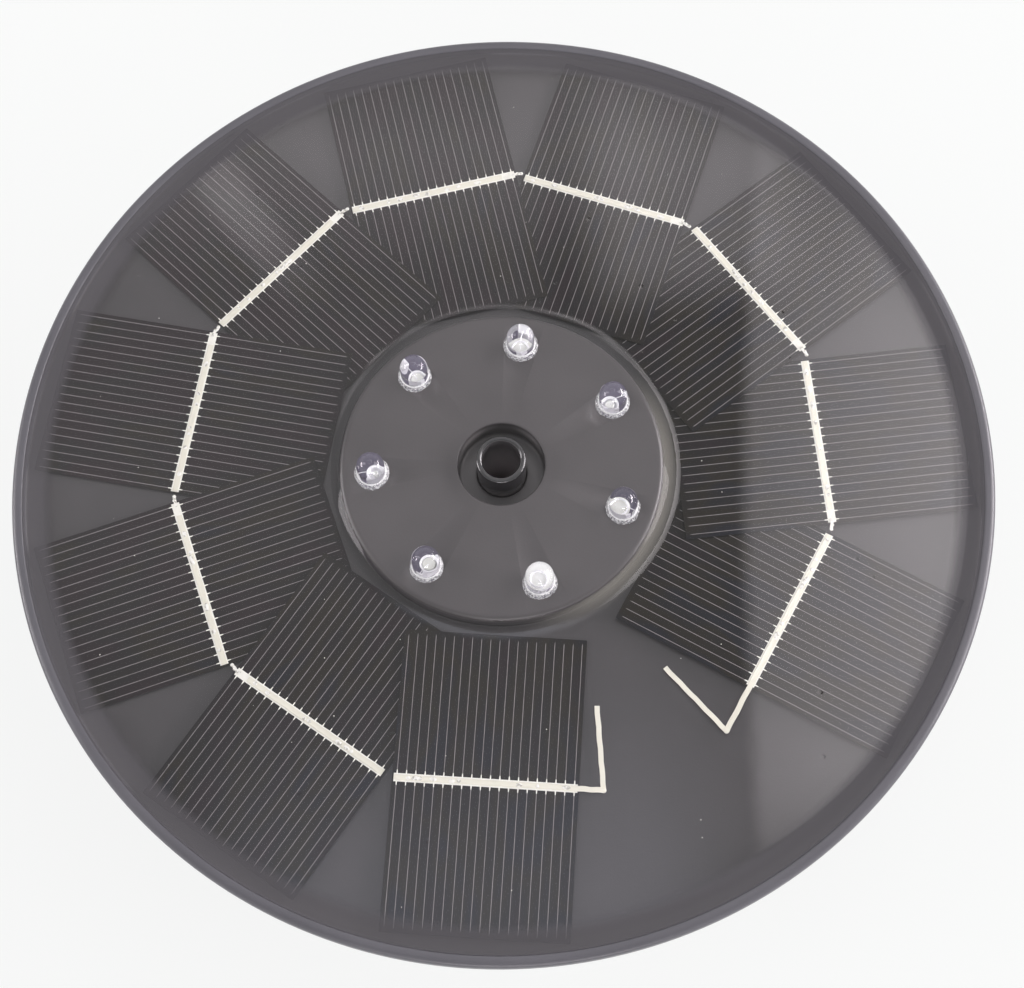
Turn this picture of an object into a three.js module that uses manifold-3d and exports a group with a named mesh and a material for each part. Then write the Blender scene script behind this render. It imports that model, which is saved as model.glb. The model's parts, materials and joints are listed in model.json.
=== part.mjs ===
// Floating solar fountain: a round tray of solar cells and LEDs with a submersible pump under it.
// Millimetres, +Z up. The outlet tube stands on the Z axis and the strainer's floor is at z = 0.
import * as THREE from 'three';
import { mergeVertices } from 'three/addons/utils/BufferGeometryUtils.js';
import Module from 'manifold-3d';

const wasm = await Module();
wasm.setup();

// ---------------------------------------------------------------- driving dimensions
const GAP = 0.3; // clearance between pieces that rest on each other or plug together
const SEAL_GAP = 0.15; // clearance round a rubber seal in its groove
const OVERSHOOT = 1; // how far a cutting shape runs past the face that it opens

// tray
const RIM_R = 87.5;
const RIM_LAND = 2;
const RIM_LIP = 2.6; // height of the lip's outer wall
const PAN_T = 2;
const SKIRT_INSET = 2.5; // from the rim's edge to the skirt
const HUB_R = 28.8;
const HUB_WALL = 2;
const HUB_T = 1.2;
const HUB_RISE = 2.5; // above the cells
const RIM_RISE = 1.3; // above the cells
const RECESS_R = 7.7;
const RECESS_DEPTH = 5;
const RECESS_WALL = 1.6;
const EDGE = 0.4; // small edge rounding

// hull
const HULL_WALL = 2;
const CHAMBER_H = 9.4; // free height inside the float chamber
const HULL_SEAL_T = 0.7;
const HULL_TAPER = 8.5; // how far the hull narrows from the skirt to its floor
const HULL_ROUND_W = 3; // width of the rounding round its floor
const HULL_ROUND_H = 1.6;
const HULL_BAND_H = 1.4; // height of the upright edge under the skirt
const TONGUE_W = 1.4;
const GROOVE_RIB = 1.5;
const GROOVE_DROP = 3; // how far the skirt and the inner rib reach below the pan

// solar cells
const CELL_SLOTS = 11;
const EMPTY_SLOT = 5;
const FIRST_SLOT_DEG = 99.9;
const CELL_LIFT = 1; // middle of a cell above the pan
const CELL_T = 0.16;
const CELL_SLOPE = 0.02; // each cell rises this much per mm towards the cell it laps over
const CELL_GAP = 1.6; // between neighbours where their busbars lie
const CELL_MARGIN = 2; // from the hub wall to a cell's inner edge
const CELL_RIM_MARGIN = 2.8; // from the rim's inner wall to a cell's outer edge
const RIBBON_W = 1.5;
const RIBBON_T = 0.1;
const RIBBON_GAP = 0.03;
const RIBBON_END_GAP = 1.3; // between neighbouring ribbons' ends
const TAIL_W = 1.1;
// The two end ribbons run on past their cell and fold back inwards.
const RIBBON_TAILS = [
  { cell: 5, side: 1, reach: 8.8, back: 4.9, inward: 14.3 },
  { cell: 6, side: -1, reach: 4.3, back: 1.2, inward: 14.5 },
];
// How far each hand-laid cell strays from its even place: outwards, along the ring, and its turn.
const CELLS_AS_LAID = [
  { out: 0, along: 0, turn: 0 },
  { out: -0.2, along: 0, turn: 1 },
  { out: 0.4, along: 0, turn: -0.2 },
  { out: 0.1, along: 0, turn: 1.2 },
  { out: 0, along: 0, turn: -1 },
  { out: 0, along: -0.6, turn: -0.5 },
  { out: -0.2, along: -0.4, turn: 1.2 },
  { out: 0.3, along: -0.4, turn: -2.2 },
  { out: 0, along: 0.1, turn: 1.2 },
  { out: 0.3, along: 0.1, turn: 0.5 },
];

// resin
const RESIN_OVER_CELLS = 0.6; // its underside above the middle of the cells
const RESIN_T = 0.5;
const MENISCUS = 1.2;

// LEDs
const LED_COUNT = 7;
const LED_INSET = 5.8; // from the hub's edge to the circle of LEDs
const FIRST_LED_DEG = 78.1;
const LED_R = 2.5;
const LED_FLANGE_LIP = 0.4;
const LED_FLANGE_T = 1;
const LED_DOME_CENTRE = 6.1; // above the underside of the flange
const LED_DOME_STEPS = 5;
const LED_HOLE_GAP = 0.15;
const LED_PIN = 0.5;
const LED_PIN_PITCH = 2.54;
const LED_BOARD_T = 1.2;
const LED_BOARD_DROP = 3; // from the hub's underside to the board
const LED_BOARD_CLEAR = 2.7; // between the recess's wall and the board
const STAKE_INSET = 4.1; // from the LEDs' flanges to the circle of stakes
const STAKE_POST_R = 1.8;
const STAKE_R = 0.9;
const STAKE_COUNT = 3;
const STAKE_PROUD = 1; // past the board that it holds

// pump
const PUMP_R = 14;
const PUMP_FLOOR_GAP = 0.7; // between the pump and the strainer's floor
const PUMP_FRONT = -8.5; // along the rotor axis, from the outlet tube: the body's open front face
const PUMP_REAR = 25;
const VOLUTE_WALL = 2.8;
const VOLUTE_GROWTH = 1.6; // how much the volute widens from its tongue to its outlet
const VOLUTE_TONGUE_DEG = 25;
const VOLUTE_FRONT = -3.5;
const VOLUTE_BACK = 4;
const TUBE_R = 4.4;
const TUBE_WALL = 0.95;
const TUBE_RISE = 2.4; // above the hub
const RISER_WALL = 1.9; // thickness that the riser adds round the tube
const SADDLE_T = 2.6;
const SADDLE_REAR = 23;
const SADDLE_EDGE = 0.5; // round a screw's head
const SADDLE_CORNER_R = 3;
const GASKET_T = 1;
const TUBE_SEAL_T = 1.5;
const CAN_WALL = 0.8;
const CAN_END = 24.2;
const CAN_BORE_END = 21.5;
const MOTOR_WALL = 2;
const MOTOR_FRONT = 6.5;
const COVER_WALL = 1.8; // of the body round the cover's plug
const COVER_T = 2;
const COVER_RING_T = 1.5;
const COVER_SEAL_W = 1;
const COVER_SEAL_T = 0.9;
const EYE_R = 5.6;
const EYE_HUB_R = 3.4;
const SPOKES = 3;
const SPOKE_W = 1.4;

// rotor
const SHAFT_R = 1;
const SHAFT_RUN_GAP = 0.2;
const SEAT_R = 2.1;
const SEAT_L = 1.8;
const IMPELLER_GAP = 0.6; // between the blades' tips and the volute's tongue
const IMPELLER_FRONT = -4.1;
const IMPELLER_BACK_GAP = 0.8; // behind its disc
const IMPELLER_HUB_R = 3;
const BLADE_FRONT = -2.4;
const IMPELLER_DISC_T = 1;
const BLADES = 6;
const BLADE_T = 1;
const BLADE_STEPS = 6;
const BLADE_SWEEP_DEG = 52;
const BLADE_TIP_INSET = 0.25; // from the disc's edge
const SLEEVE_R = 2.4;
const MAGNET_GAP = 0.5; // between the magnet and the rotor can
const MAGNET_FRONT = 4.9;
const MAGNET_L = 15;

// stator
const STATOR_TEETH = 6;
const STATOR_FRONT = 9;
const STATOR_L = 10;
const STATOR_RING_T = 1.8;
const TOOTH_L = 2.6;
const TOOTH_W = 2.4;
const WINDING_OVERHANG = 1.8;
const CAP_T = 2;
const CAP_PLUG_L = 3;

// pump screws: on which side of the rotor axis, and where along it
const PUMP_SCREWS = [
  { side: -1, y: 0 },
  { side: -1, y: 18 },
  { side: 1, y: 15 },
];
const SCREW_R = 1.1;
const SCREW_HOLE_R = 1.4;
const SCREW_HEAD_R = 2.4;
const SCREW_HEAD_H = 1.7;
const SCREW_L = 8;
const SCREW_CROWN_R = 1.7; // flat part of the domed head
const SCREW_RECESS_R = 1;
const SCREW_RECESS_W = 0.5;
const SCREW_RECESS_DEPTH = 0.85;
const PUMP_BOSS_R = 3.2;

// hull screws
const HULL_SCREWS = 3;
const HULL_SCREW_INSET = 6.5; // from the edge of the hull's floor
const WELL_R = 4.6;
const WELL_BORE_R = 3;
const WELL_DEPTH = 5.9;
const WELL_TOP_T = 1.5;
const TRAY_POST_R = 3.6;
const HULL_SCREW_L = 6;

// strainer
const CAGE_FLOOR_T = 1.8;
const CAGE_WALL = 1.7;
const CAGE_CLEARANCE = 1.25; // between the pump's farthest corner and the spigot's outside
const SPIGOT_WALL = 1.6;
const SPIGOT_L = 3.5;
const CAGE_CORNER_R = 3;
const WALL_SLOTS = 36;
const WALL_SLOT_W = 2.2;
const WALL_SLOT_BOTTOM = 5;
const WALL_SLOT_TOP = 23;
const FLOOR_SLOTS = 20;
const FLOOR_SLOT_W = 2.2;
const FLOOR_SLOT_IN_R = 12;
const FLOOR_SLOT_EDGE = 7; // from the outer end of a floor slot to the outside

// electrics in the hull
const BOARD_W = 44;
const BOARD_D = 28;
const BOARD_T = 1.6;
const BOARD_HEADROOM = 2.1; // above the board
const BOARD_MARGIN = 2; // from the board's corners to the edge of the hull's floor
const BOARD_POST_R = 2.2;
const BOARD_STAKE_R = 1;
const BOARD_POST_INSET = 3.5;
const BATTERY_W = 54;
const BATTERY_D = 32;
const BATTERY_HEADROOM = 1.9; // above the battery
const BATTERY_MARGIN = 1.5; // from its corners to the edge of the hull's floor
const BATTERY_CORNER_R = 2.5;
const BATTERY_RIB_T = 1.2;
const BATTERY_RIB_H = 3;
const BATTERY_RIB_L = 12;
const LEAD_R = 1.2;
const LEAD_HOLE_R = 1.6;
const LEAD_SIDESTEP = 4.5; // the motor lead keeps this far outside the rotor axis
const BATTERY_LEAD_X = 14;
const LEAD_Y = 20.2; // where the motor lead leaves the motor, along the rotor axis
const LEAD_UPRIGHT = 3; // straight start above the motor
const LEAD_BEND = 2;
const LEAD_SWING = 10; // length of the motor lead's sidestep
const LEAD_OFF_BATTERY = 6; // straight start from the battery
const LEAD_TO_BOARD = 12; // straight end before the board

// power button
const BUTTON_R = 5.2;
const BUTTON_PROUD = 0.8;
const BUTTON_FLANGE_R = 6.6;
const BUTTON_FLANGE_T = 1;
const BUTTON_TRAVEL = 1.2;
const STEM_R = 0.9;
const SWITCH_W = 6;
const SWITCH_HOLE_R = 1.3;
const GUIDE_WALL = 1.6;
const BUTTON_SEAL_T = 0.7;

// facets round a full circle
const RIM_FACETS = 60;
const RING_FACETS = 32;
const PUMP_FACETS = 24;
const SMALL_FACETS = 12;
const PIN_FACETS = 8;
const CURVE_FACETS = 4; // to each arc of an extruded outline
const MOTOR_LEAD_STEPS = 30;
const BATTERY_LEAD_STEPS = 20;

// ---------------------------------------------------------------- heights and radii that follow
const AXIS_Z = CAGE_FLOOR_T + PUMP_FLOOR_GAP + PUMP_R;
const SADDLE_TOP = AXIS_Z + PUMP_R;
const GASKET_Z = SADDLE_TOP + GAP;
const HULL_Z = GASKET_Z + GASKET_T + GAP;
const FLOOR_Z = HULL_Z + HULL_WALL;
const PAN_UNDER = FLOOR_Z + CHAMBER_H;
const PAN_TOP = PAN_UNDER + PAN_T;
const CELL_Z = PAN_TOP + CELL_LIFT;
const RIM_TOP = CELL_Z + RIM_RISE;
const HUB_TOP = CELL_Z + HUB_RISE;
const TUBE_TOP = HUB_TOP + TUBE_RISE;
const RECESS_FLOOR = HUB_TOP - RECESS_DEPTH;
const RECESS_UNDER = RECESS_FLOOR - RECESS_WALL;
const RISER_TOP = RECESS_UNDER - TUBE_SEAL_T - 2 * SEAL_GAP;

// tray and hull
const PAN_R = RIM_R - RIM_LAND;
const SKIRT_R = RIM_R - SKIRT_INSET;
const GROOVE_OUT_R = SKIRT_R - HULL_WALL;
const TONGUE_R = GROOVE_OUT_R - GAP;
const TONGUE_IN_R = TONGUE_R - TONGUE_W;
const GROOVE_IN_R = TONGUE_IN_R - GAP;
const GROOVE_BOTTOM = PAN_UNDER - GROOVE_DROP;
const TONGUE_TOP = PAN_UNDER - HULL_SEAL_T - 2 * GAP;
const HULL_SHOULDER = GROOVE_BOTTOM - GAP;
const HULL_FLOOR_R = SKIRT_R - HULL_TAPER;
const HULL_SCREW_CIRCLE_R = HULL_FLOOR_R - HULL_SCREW_INSET;
const WELL_CEILING = HULL_Z + WELL_DEPTH;
const WELL_TOP = WELL_CEILING + WELL_TOP_T;

// cells and LEDs
const SLOT_HALF = Math.PI / CELL_SLOTS;
const CELL_INNER = HUB_R + CELL_MARGIN;
const CELL_OUTER = PAN_R - CELL_RIM_MARGIN;
const BUSBAR_R = (CELL_INNER + CELL_OUTER) / 2;
const CELL_L = CELL_OUTER - CELL_INNER;
const CELL_W = 2 * BUSBAR_R * Math.tan(SLOT_HALF) - CELL_GAP;
const RIBBON_L = 2 * BUSBAR_R * Math.tan(SLOT_HALF) - RIBBON_END_GAP;
const RIBBON_Z = CELL_T / 2 + RIBBON_GAP + RIBBON_T / 2;
const LED_CIRCLE_R = HUB_R - LED_INSET;
const LED_FLANGE_R = LED_R + LED_FLANGE_LIP;
const STAKE_CIRCLE_R = LED_CIRCLE_R - LED_FLANGE_R - STAKE_INSET;
const LED_BOARD_IN_R = RECESS_R + RECESS_WALL + LED_BOARD_CLEAR;
const LED_FLANGE_TOP = HUB_TOP - HUB_T - SEAL_GAP;
const LED_BASE = LED_FLANGE_TOP - LED_FLANGE_T;
const LED_BOARD_TOP = HUB_TOP - HUB_T - LED_BOARD_DROP;

// pump, from the outside in
const MOTOR_BORE_R = PUMP_R - MOTOR_WALL;
const STATOR_R = MOTOR_BORE_R - GAP;
const TOOTH_TIP_R = STATOR_R - STATOR_RING_T - TOOTH_L;
const CAN_R = TOOTH_TIP_R - GAP;
const CAN_BORE_R = CAN_R - CAN_WALL;
const MAGNET_R = CAN_BORE_R - MAGNET_GAP;
const TUBE_BORE_R = TUBE_R - TUBE_WALL;
const RISER_R = TUBE_R + RISER_WALL;
const COVER_BORE_R = PUMP_R - COVER_WALL;
const VOLUTE_END_R = PUMP_R - VOLUTE_WALL;
const VOLUTE_START_R = VOLUTE_END_R - VOLUTE_GROWTH;
const IMPELLER_R = VOLUTE_START_R - IMPELLER_GAP;
const ROTOR_X = -(VOLUTE_END_R - TUBE_BORE_R - SEAL_GAP);
const IMPELLER_BACK = VOLUTE_BACK - IMPELLER_BACK_GAP;
const SLEEVE_END = CAN_BORE_END - GAP;
const COVER_IN = PUMP_FRONT - GAP;
const COVER_OUT = COVER_IN - COVER_T;
const CAP_IN = PUMP_REAR + GAP;
const EYE_HUB_IN = IMPELLER_FRONT - GAP;
const SCREW_HEAD_TOP = SADDLE_TOP - SADDLE_T - GAP;
const SHELL_HALF_W = Math.sqrt(PUMP_R ** 2 - (SCREW_HEAD_TOP - SCREW_HEAD_H - AXIS_Z) ** 2);
const PUMP_SCREW_X = SHELL_HALF_W + SCREW_HEAD_R + GAP;
const SADDLE_HALF_W = PUMP_SCREW_X + SCREW_HEAD_R + SADDLE_EDGE;

// strainer
const SPIGOT_R = Math.hypot(PUMP_R - ROTOR_X, CAP_IN + CAP_T) + CAGE_CLEARANCE;
const CAGE_IN_R = SPIGOT_R + GAP;
const CAGE_R = CAGE_IN_R + CAGE_WALL;
const CAGE_TOP = HULL_Z - GAP;

// electrics and power button
const BOARD_Z = PAN_UNDER - BOARD_HEADROOM - BOARD_T;
const BOARD_Y = BOARD_D / 2 - chordReach(HULL_FLOOR_R - BOARD_MARGIN, BOARD_W / 2);
const BATTERY_H = CHAMBER_H - BATTERY_HEADROOM - GAP;
const BATTERY_Y = chordReach(HULL_FLOOR_R - BATTERY_MARGIN, BATTERY_W / 2) - BATTERY_D / 2;
const BUTTON_FLANGE_Z = FLOOR_Z + GAP;
const BUTTON_SEAL_FLOOR = FLOOR_Z - BUTTON_SEAL_T - 2 * SEAL_GAP;
const GUIDE_TOP = BUTTON_FLANGE_Z + BUTTON_FLANGE_T + BUTTON_TRAVEL;
const SWITCH_Z = GUIDE_TOP + SEAL_GAP + GAP;
const STEM_TOP = SWITCH_Z - GAP;

/** How far a chord's ends let it lie from the centre of a circle. */
function chordReach(radius, halfChord) {
  return Math.sqrt(radius ** 2 - halfChord ** 2);
}

// ---------------------------------------------------------------- finishes
const finish = (color, roughness, metalness = 0, opacity = 1) => new THREE.MeshStandardMaterial({
  color, roughness, metalness, opacity, transparent: opacity < 1,
});
const trayPlastic = finish(0x3a393b, 0.45);
const hullPlastic = finish(0x242426, 0.5);
const pumpPlastic = finish(0x1d1d1f, 0.4);
const cagePlastic = finish(0x202022, 0.55);
const rubber = finish(0x151515, 0.8);
const clearResin = finish(0xe8e6e0, 0.05, 0, 0.2);
const clearLens = finish(0xf4f4f2, 0.05, 0, 0.4);
const silicon = finish(0x2c2c31, 0.35, 0.2);
const tinnedRibbon = finish(0xe6e0c8, 0.35, 0.8);
const circuitBoard = finish(0x1e5a34, 0.5);
const ceramic = finish(0xf2efe8, 0.25);
const ferrite = finish(0x3c3d42, 0.5, 0.4);
const laminations = finish(0x8d9096, 0.4, 0.9);
const copper = finish(0xb46a3c, 0.4, 0.8);
const stainless = finish(0xb9bcc0, 0.3, 1);
const foilWrap = finish(0x2f6fb0, 0.4, 0.1);
const whitePlastic = finish(0xd9d9d4, 0.5);
const cableJacket = finish(0x101012, 0.6);

// ---------------------------------------------------------------- shapes
const degrees = (value) => THREE.MathUtils.degToRad(value);

/** Spins a closed (radius, height) outline, listed either way round, about the Z axis. */
function revolve(outline, facets) {
  const points = outline.map(([radius, height]) => new THREE.Vector2(radius, height));
  if (THREE.ShapeUtils.area(points) < 0) points.reverse();
  points.push(points[0].clone());
  return new THREE.LatheGeometry(points, facets).rotateX(Math.PI / 2);
}

/** A flat-ended cylinder along Z. */
function rod(radius, bottom, top, facets = SMALL_FACETS) {
  const geometry = new THREE.CylinderGeometry(radius, radius, top - bottom, facets);
  return geometry.rotateX(Math.PI / 2).translate(0, 0, (bottom + top) / 2);
}

/** A ring of rectangular section round the Z axis. */
function ring(inner, outer, bottom, top, facets) {
  return revolve([[inner, bottom], [outer, bottom], [outer, top], [inner, top]], facets);
}

/** A box from its two corners. */
function block([x0, y0, z0], [x1, y1, z1]) {
  const geometry = new THREE.BoxGeometry(x1 - x0, y1 - y0, z1 - z0);
  return geometry.translate((x0 + x1) / 2, (y0 + y1) / 2, (z0 + z1) / 2);
}

/** A flat outline given a thickness along Z. */
function plate(shape, bottom, top) {
  const options = { depth: top - bottom, bevelEnabled: false, curveSegments: CURVE_FACETS };
  return new THREE.ExtrudeGeometry(shape, options).translate(0, 0, bottom);
}

/** A rectangle with round corners, as a shape. */
function roundedRectangle(x0, y0, x1, y1, radius) {
  const shape = new THREE.Shape();
  shape.absarc(x1 - radius, y0 + radius, radius, -Math.PI / 2, 0);
  shape.absarc(x1 - radius, y1 - radius, radius, 0, Math.PI / 2);
  shape.absarc(x0 + radius, y1 - radius, radius, Math.PI / 2, Math.PI);
  shape.absarc(x0 + radius, y0 + radius, radius, Math.PI, 1.5 * Math.PI);
  return shape;
}

/** A round cable along a smooth curve through the given points. */
function cable(points, radius, steps) {
  const section = new THREE.Shape().absarc(0, 0, radius, 0, 2 * Math.PI);
  const extrudePath = new THREE.CatmullRomCurve3(points.map((point) => new THREE.Vector3(...point)));
  return new THREE.ExtrudeGeometry(section, { steps, extrudePath, curveSegments: CURVE_FACETS });
}

/** The same geometry with its Z axis laid along +Y, for the pieces on the rotor's axis. */
function alongY(geometry) {
  return geometry.rotateX(-Math.PI / 2);
}

// ---------------------------------------------------------------- solids: joins and cuts
/** A closed three.js geometry as a manifold solid. */
function solid(geometry) {
  const bare = geometry.clone();
  bare.deleteAttribute('normal');
  bare.deleteAttribute('uv');
  const merged = mergeVertices(bare, 1e-5);
  const corners = merged.index.array;
  const triVerts = [];
  for (let i = 0; i < corners.length; i += 3) {
    const [a, b, c] = corners.slice(i, i + 3);
    if (a !== b && b !== c && c !== a) triVerts.push(a, b, c);
  }
  return new wasm.Manifold(new wasm.Mesh({
    numProp: 3,
    vertProperties: new Float32Array(merged.attributes.position.array),
    triVerts: new Uint32Array(triVerts),
  }));
}

/** A manifold solid as a three.js geometry. */
function geometryOf(manifold) {
  const mesh = manifold.getMesh();
  const geometry = new THREE.BufferGeometry();
  geometry.setAttribute('position', new THREE.BufferAttribute(mesh.vertProperties, 3));
  geometry.setIndex(new THREE.BufferAttribute(mesh.triVerts, 1));
  geometry.computeVertexNormals();
  return geometry;
}

const join = (geometries) => wasm.Manifold.union(geometries.map(solid));
const cut = (body, geometries) => (geometries.length ? body.subtract(join(geometries)) : body);

/** Joins some geometries and cuts others out of them. */
function carve(added, removed = []) {
  return geometryOf(cut(join(added), removed));
}

/** Copies of a geometry turned evenly about the Z axis. */
function turned(count, make, firstAngle = 0) {
  return Array.from({ length: count }, (_, i) => (
    make(i).rotateZ(firstAngle + (i * 2 * Math.PI) / count)
  ));
}

// ---------------------------------------------------------------- assembly
const fountain = new THREE.Group();

/** Adds one named piece to a group. */
function piece(name, geometry, material, parent = fountain) {
  const mesh = new THREE.Mesh(geometry, material);
  mesh.name = name;
  parent.add(mesh);
  return mesh;
}

/** Centres of the LEDs, clockwise from the first. */
function ledPlaces() {
  return Array.from({ length: LED_COUNT }, (_, i) => {
    const angle = degrees(FIRST_LED_DEG) - (i * 2 * Math.PI) / LED_COUNT;
    return { angle, x: LED_CIRCLE_R * Math.cos(angle), y: LED_CIRCLE_R * Math.sin(angle) };
  });
}

// ---- tray
/** The tray's outline: recess, hub, pan, rim, skirt, and the groove for the hull's seal. */
function trayOutline() {
  const hubInside = HUB_R - HUB_WALL;
  const cupOutside = RECESS_R + RECESS_WALL;
  return [
    [TUBE_R + GAP, RECESS_UNDER],
    [TUBE_R + GAP, RECESS_FLOOR],
    [RECESS_R, RECESS_FLOOR],
    [RECESS_R, HUB_TOP - EDGE],
    [RECESS_R + EDGE, HUB_TOP],
    [HUB_R - EDGE, HUB_TOP],
    [HUB_R, HUB_TOP - EDGE],
    [HUB_R, PAN_TOP],
    [PAN_R, PAN_TOP],
    [PAN_R, RIM_TOP - EDGE],
    [PAN_R + EDGE, RIM_TOP],
    [RIM_R - EDGE, RIM_TOP],
    [RIM_R, RIM_TOP - EDGE],
    [RIM_R, RIM_TOP - RIM_LIP],
    [SKIRT_R, RIM_TOP - RIM_LIP - EDGE],
    [SKIRT_R, GROOVE_BOTTOM],
    [GROOVE_OUT_R, GROOVE_BOTTOM],
    [GROOVE_OUT_R, PAN_UNDER],
    [GROOVE_IN_R, PAN_UNDER],
    [GROOVE_IN_R, GROOVE_BOTTOM],
    [GROOVE_IN_R - GROOVE_RIB, GROOVE_BOTTOM],
    [GROOVE_IN_R - GROOVE_RIB, PAN_UNDER],
    [hubInside, PAN_UNDER],
    [hubInside, HUB_TOP - HUB_T],
    [cupOutside, HUB_TOP - HUB_T],
    [cupOutside, RECESS_UNDER],
  ];
}

/** A hole through the hub for an LED, opened out at the top. */
function ledHole({ x, y }) {
  const radius = LED_R + LED_HOLE_GAP;
  const outline = [
    [0, HUB_TOP - HUB_T - OVERSHOOT],
    [radius, HUB_TOP - HUB_T - OVERSHOOT],
    [radius, HUB_TOP - EDGE],
    [radius + EDGE, HUB_TOP],
    [radius + EDGE, HUB_TOP + OVERSHOOT],
    [0, HUB_TOP + OVERSHOOT],
  ];
  return revolve(outline, SMALL_FACETS).translate(x, y, 0);
}

/** A post under the hub with a thinner stake through the LED board. */
function ledBoardStake() {
  const underHub = HUB_TOP - HUB_T;
  const outline = [
    [0, LED_BOARD_TOP - LED_BOARD_T - STAKE_PROUD],
    [STAKE_R, LED_BOARD_TOP - LED_BOARD_T - STAKE_PROUD],
    [STAKE_R, LED_BOARD_TOP + GAP],
    [STAKE_POST_R, LED_BOARD_TOP + GAP],
    [STAKE_POST_R, underHub + EDGE],
    [0, underHub + EDGE],
  ];
  return revolve(outline, SMALL_FACETS).translate(STAKE_CIRCLE_R, 0, 0);
}

function topTray() {
  const post = () => rod(TRAY_POST_R, WELL_TOP + GAP, PAN_UNDER + EDGE)
    .translate(HULL_SCREW_CIRCLE_R, 0, 0);
  const pilot = () => rod(SCREW_HOLE_R, WELL_TOP, WELL_CEILING + HULL_SCREW_L + GAP)
    .translate(HULL_SCREW_CIRCLE_R, 0, 0);
  const body = [revolve(trayOutline(), RIM_FACETS)];
  body.push(...turned(STAKE_COUNT, ledBoardStake));
  body.push(...turned(HULL_SCREWS, post));
  return carve(body, [...ledPlaces().map(ledHole), ...turned(HULL_SCREWS, pilot)]);
}

// ---- solar cells
/** Where each cell lies, clockwise from the first, leaving the empty place out. */
function cellPlaces() {
  const slots = Array.from({ length: CELL_SLOTS }, (_, slot) => slot);
  return slots.filter((slot) => slot !== EMPTY_SLOT).map((slot, i) => ({
    angle: degrees(FIRST_SLOT_DEG) - slot * 2 * SLOT_HALF,
    laid: CELLS_AS_LAID[i],
  }));
}

/** A group whose +Y points outwards and whose +X side is raised over the next cell. */
function cellFrame({ angle, laid }) {
  const slot = new THREE.Group();
  slot.rotation.z = angle - Math.PI / 2;
  const cell = new THREE.Group();
  cell.position.set(laid.along, BUSBAR_R + laid.out, CELL_Z);
  cell.rotation.set(0, -Math.atan(CELL_SLOPE), degrees(laid.turn));
  slot.add(cell);
  fountain.add(slot);
  return cell;
}

/** A straight strip between two points of the ribbon's plane, sloping as asked. */
function strip(from, to, width, slope = 0) {
  const run = Math.hypot(to.x - from.x, to.y - from.y);
  const geometry = new THREE.BoxGeometry(run, width, RIBBON_T);
  geometry.translate(run / 2, 0, 0).rotateY(-Math.atan(slope));
  geometry.rotateZ(Math.atan2(to.y - from.y, to.x - from.x));
  return geometry.translate(from.x, from.y, 0);
}

/** A tabbing ribbon soldered to a cell's busbar, with a folded-back tail where one is asked for. */
function ribbon(tail) {
  const half = RIBBON_L / 2;
  const bar = strip({ x: -half, y: 0 }, { x: half, y: 0 }, RIBBON_W);
  if (!tail) return bar.translate(0, 0, RIBBON_Z);
  const { side, reach, back, inward } = tail;
  const slope = -side * 2 * CELL_SLOPE;
  const drop = slope * (reach + GAP);
  const end = { x: side * (half - GAP), y: 0 };
  const fold = { x: side * (half + reach), y: 0 };
  const tip = { x: fold.x - side * back, y: -inward };
  const out = strip(end, { x: fold.x + side * TAIL_W / 2, y: 0 }, TAIL_W, side > 0 ? slope : 0);
  const home = strip(fold, tip, TAIL_W).translate(0, 0, (side > 0 ? drop : 0) - RIBBON_T / 2);
  return carve([bar, out, home]).translate(0, 0, RIBBON_Z);
}

function solarCells() {
  cellPlaces().forEach((place, i) => {
    const frame = cellFrame(place);
    piece(`solar_cell_${i + 1}`, new THREE.BoxGeometry(CELL_W, CELL_L, CELL_T), silicon, frame);
    const tail = RIBBON_TAILS.find(({ cell }) => cell === i + 1);
    piece(`cell_ribbon_${i + 1}`, ribbon(tail), tinnedRibbon, frame);
  });
}

/** The clear resin, drawn up against the hub's wall and the rim. */
function resinCover() {
  const bottom = CELL_Z + RESIN_OVER_CELLS;
  const top = bottom + RESIN_T;
  const inner = HUB_R + GAP;
  const outer = PAN_R - GAP;
  return revolve([
    [inner, bottom],
    [outer, bottom],
    [outer, RIM_TOP - EDGE],
    [outer - MENISCUS, top],
    [inner + MENISCUS, top],
    [inner + MENISCUS / 3, top + MENISCUS / 3],
    [inner, HUB_TOP - EDGE],
  ], RIM_FACETS);
}

// ---- LEDs
function led() {
  const centre = LED_BASE + LED_DOME_CENTRE;
  const outline = [
    [0, LED_BASE],
    [LED_FLANGE_R, LED_BASE],
    [LED_FLANGE_R, LED_FLANGE_TOP],
    [LED_R, LED_FLANGE_TOP],
  ];
  for (let i = 0; i < LED_DOME_STEPS; i += 1) {
    const angle = (i * Math.PI) / 2 / LED_DOME_STEPS;
    outline.push([LED_R * Math.cos(angle), centre + LED_R * Math.sin(angle)]);
  }
  outline.push([0, centre + LED_R]);
  const pin = (side) => block(
    [side * LED_PIN_PITCH / 2 - LED_PIN / 2, -LED_PIN / 2, LED_BOARD_TOP - LED_BOARD_T - GAP],
    [side * LED_PIN_PITCH / 2 + LED_PIN / 2, LED_PIN / 2, LED_BASE + LED_FLANGE_T / 2],
  );
  return carve([revolve(outline, SMALL_FACETS), pin(-1), pin(1)]);
}

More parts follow.
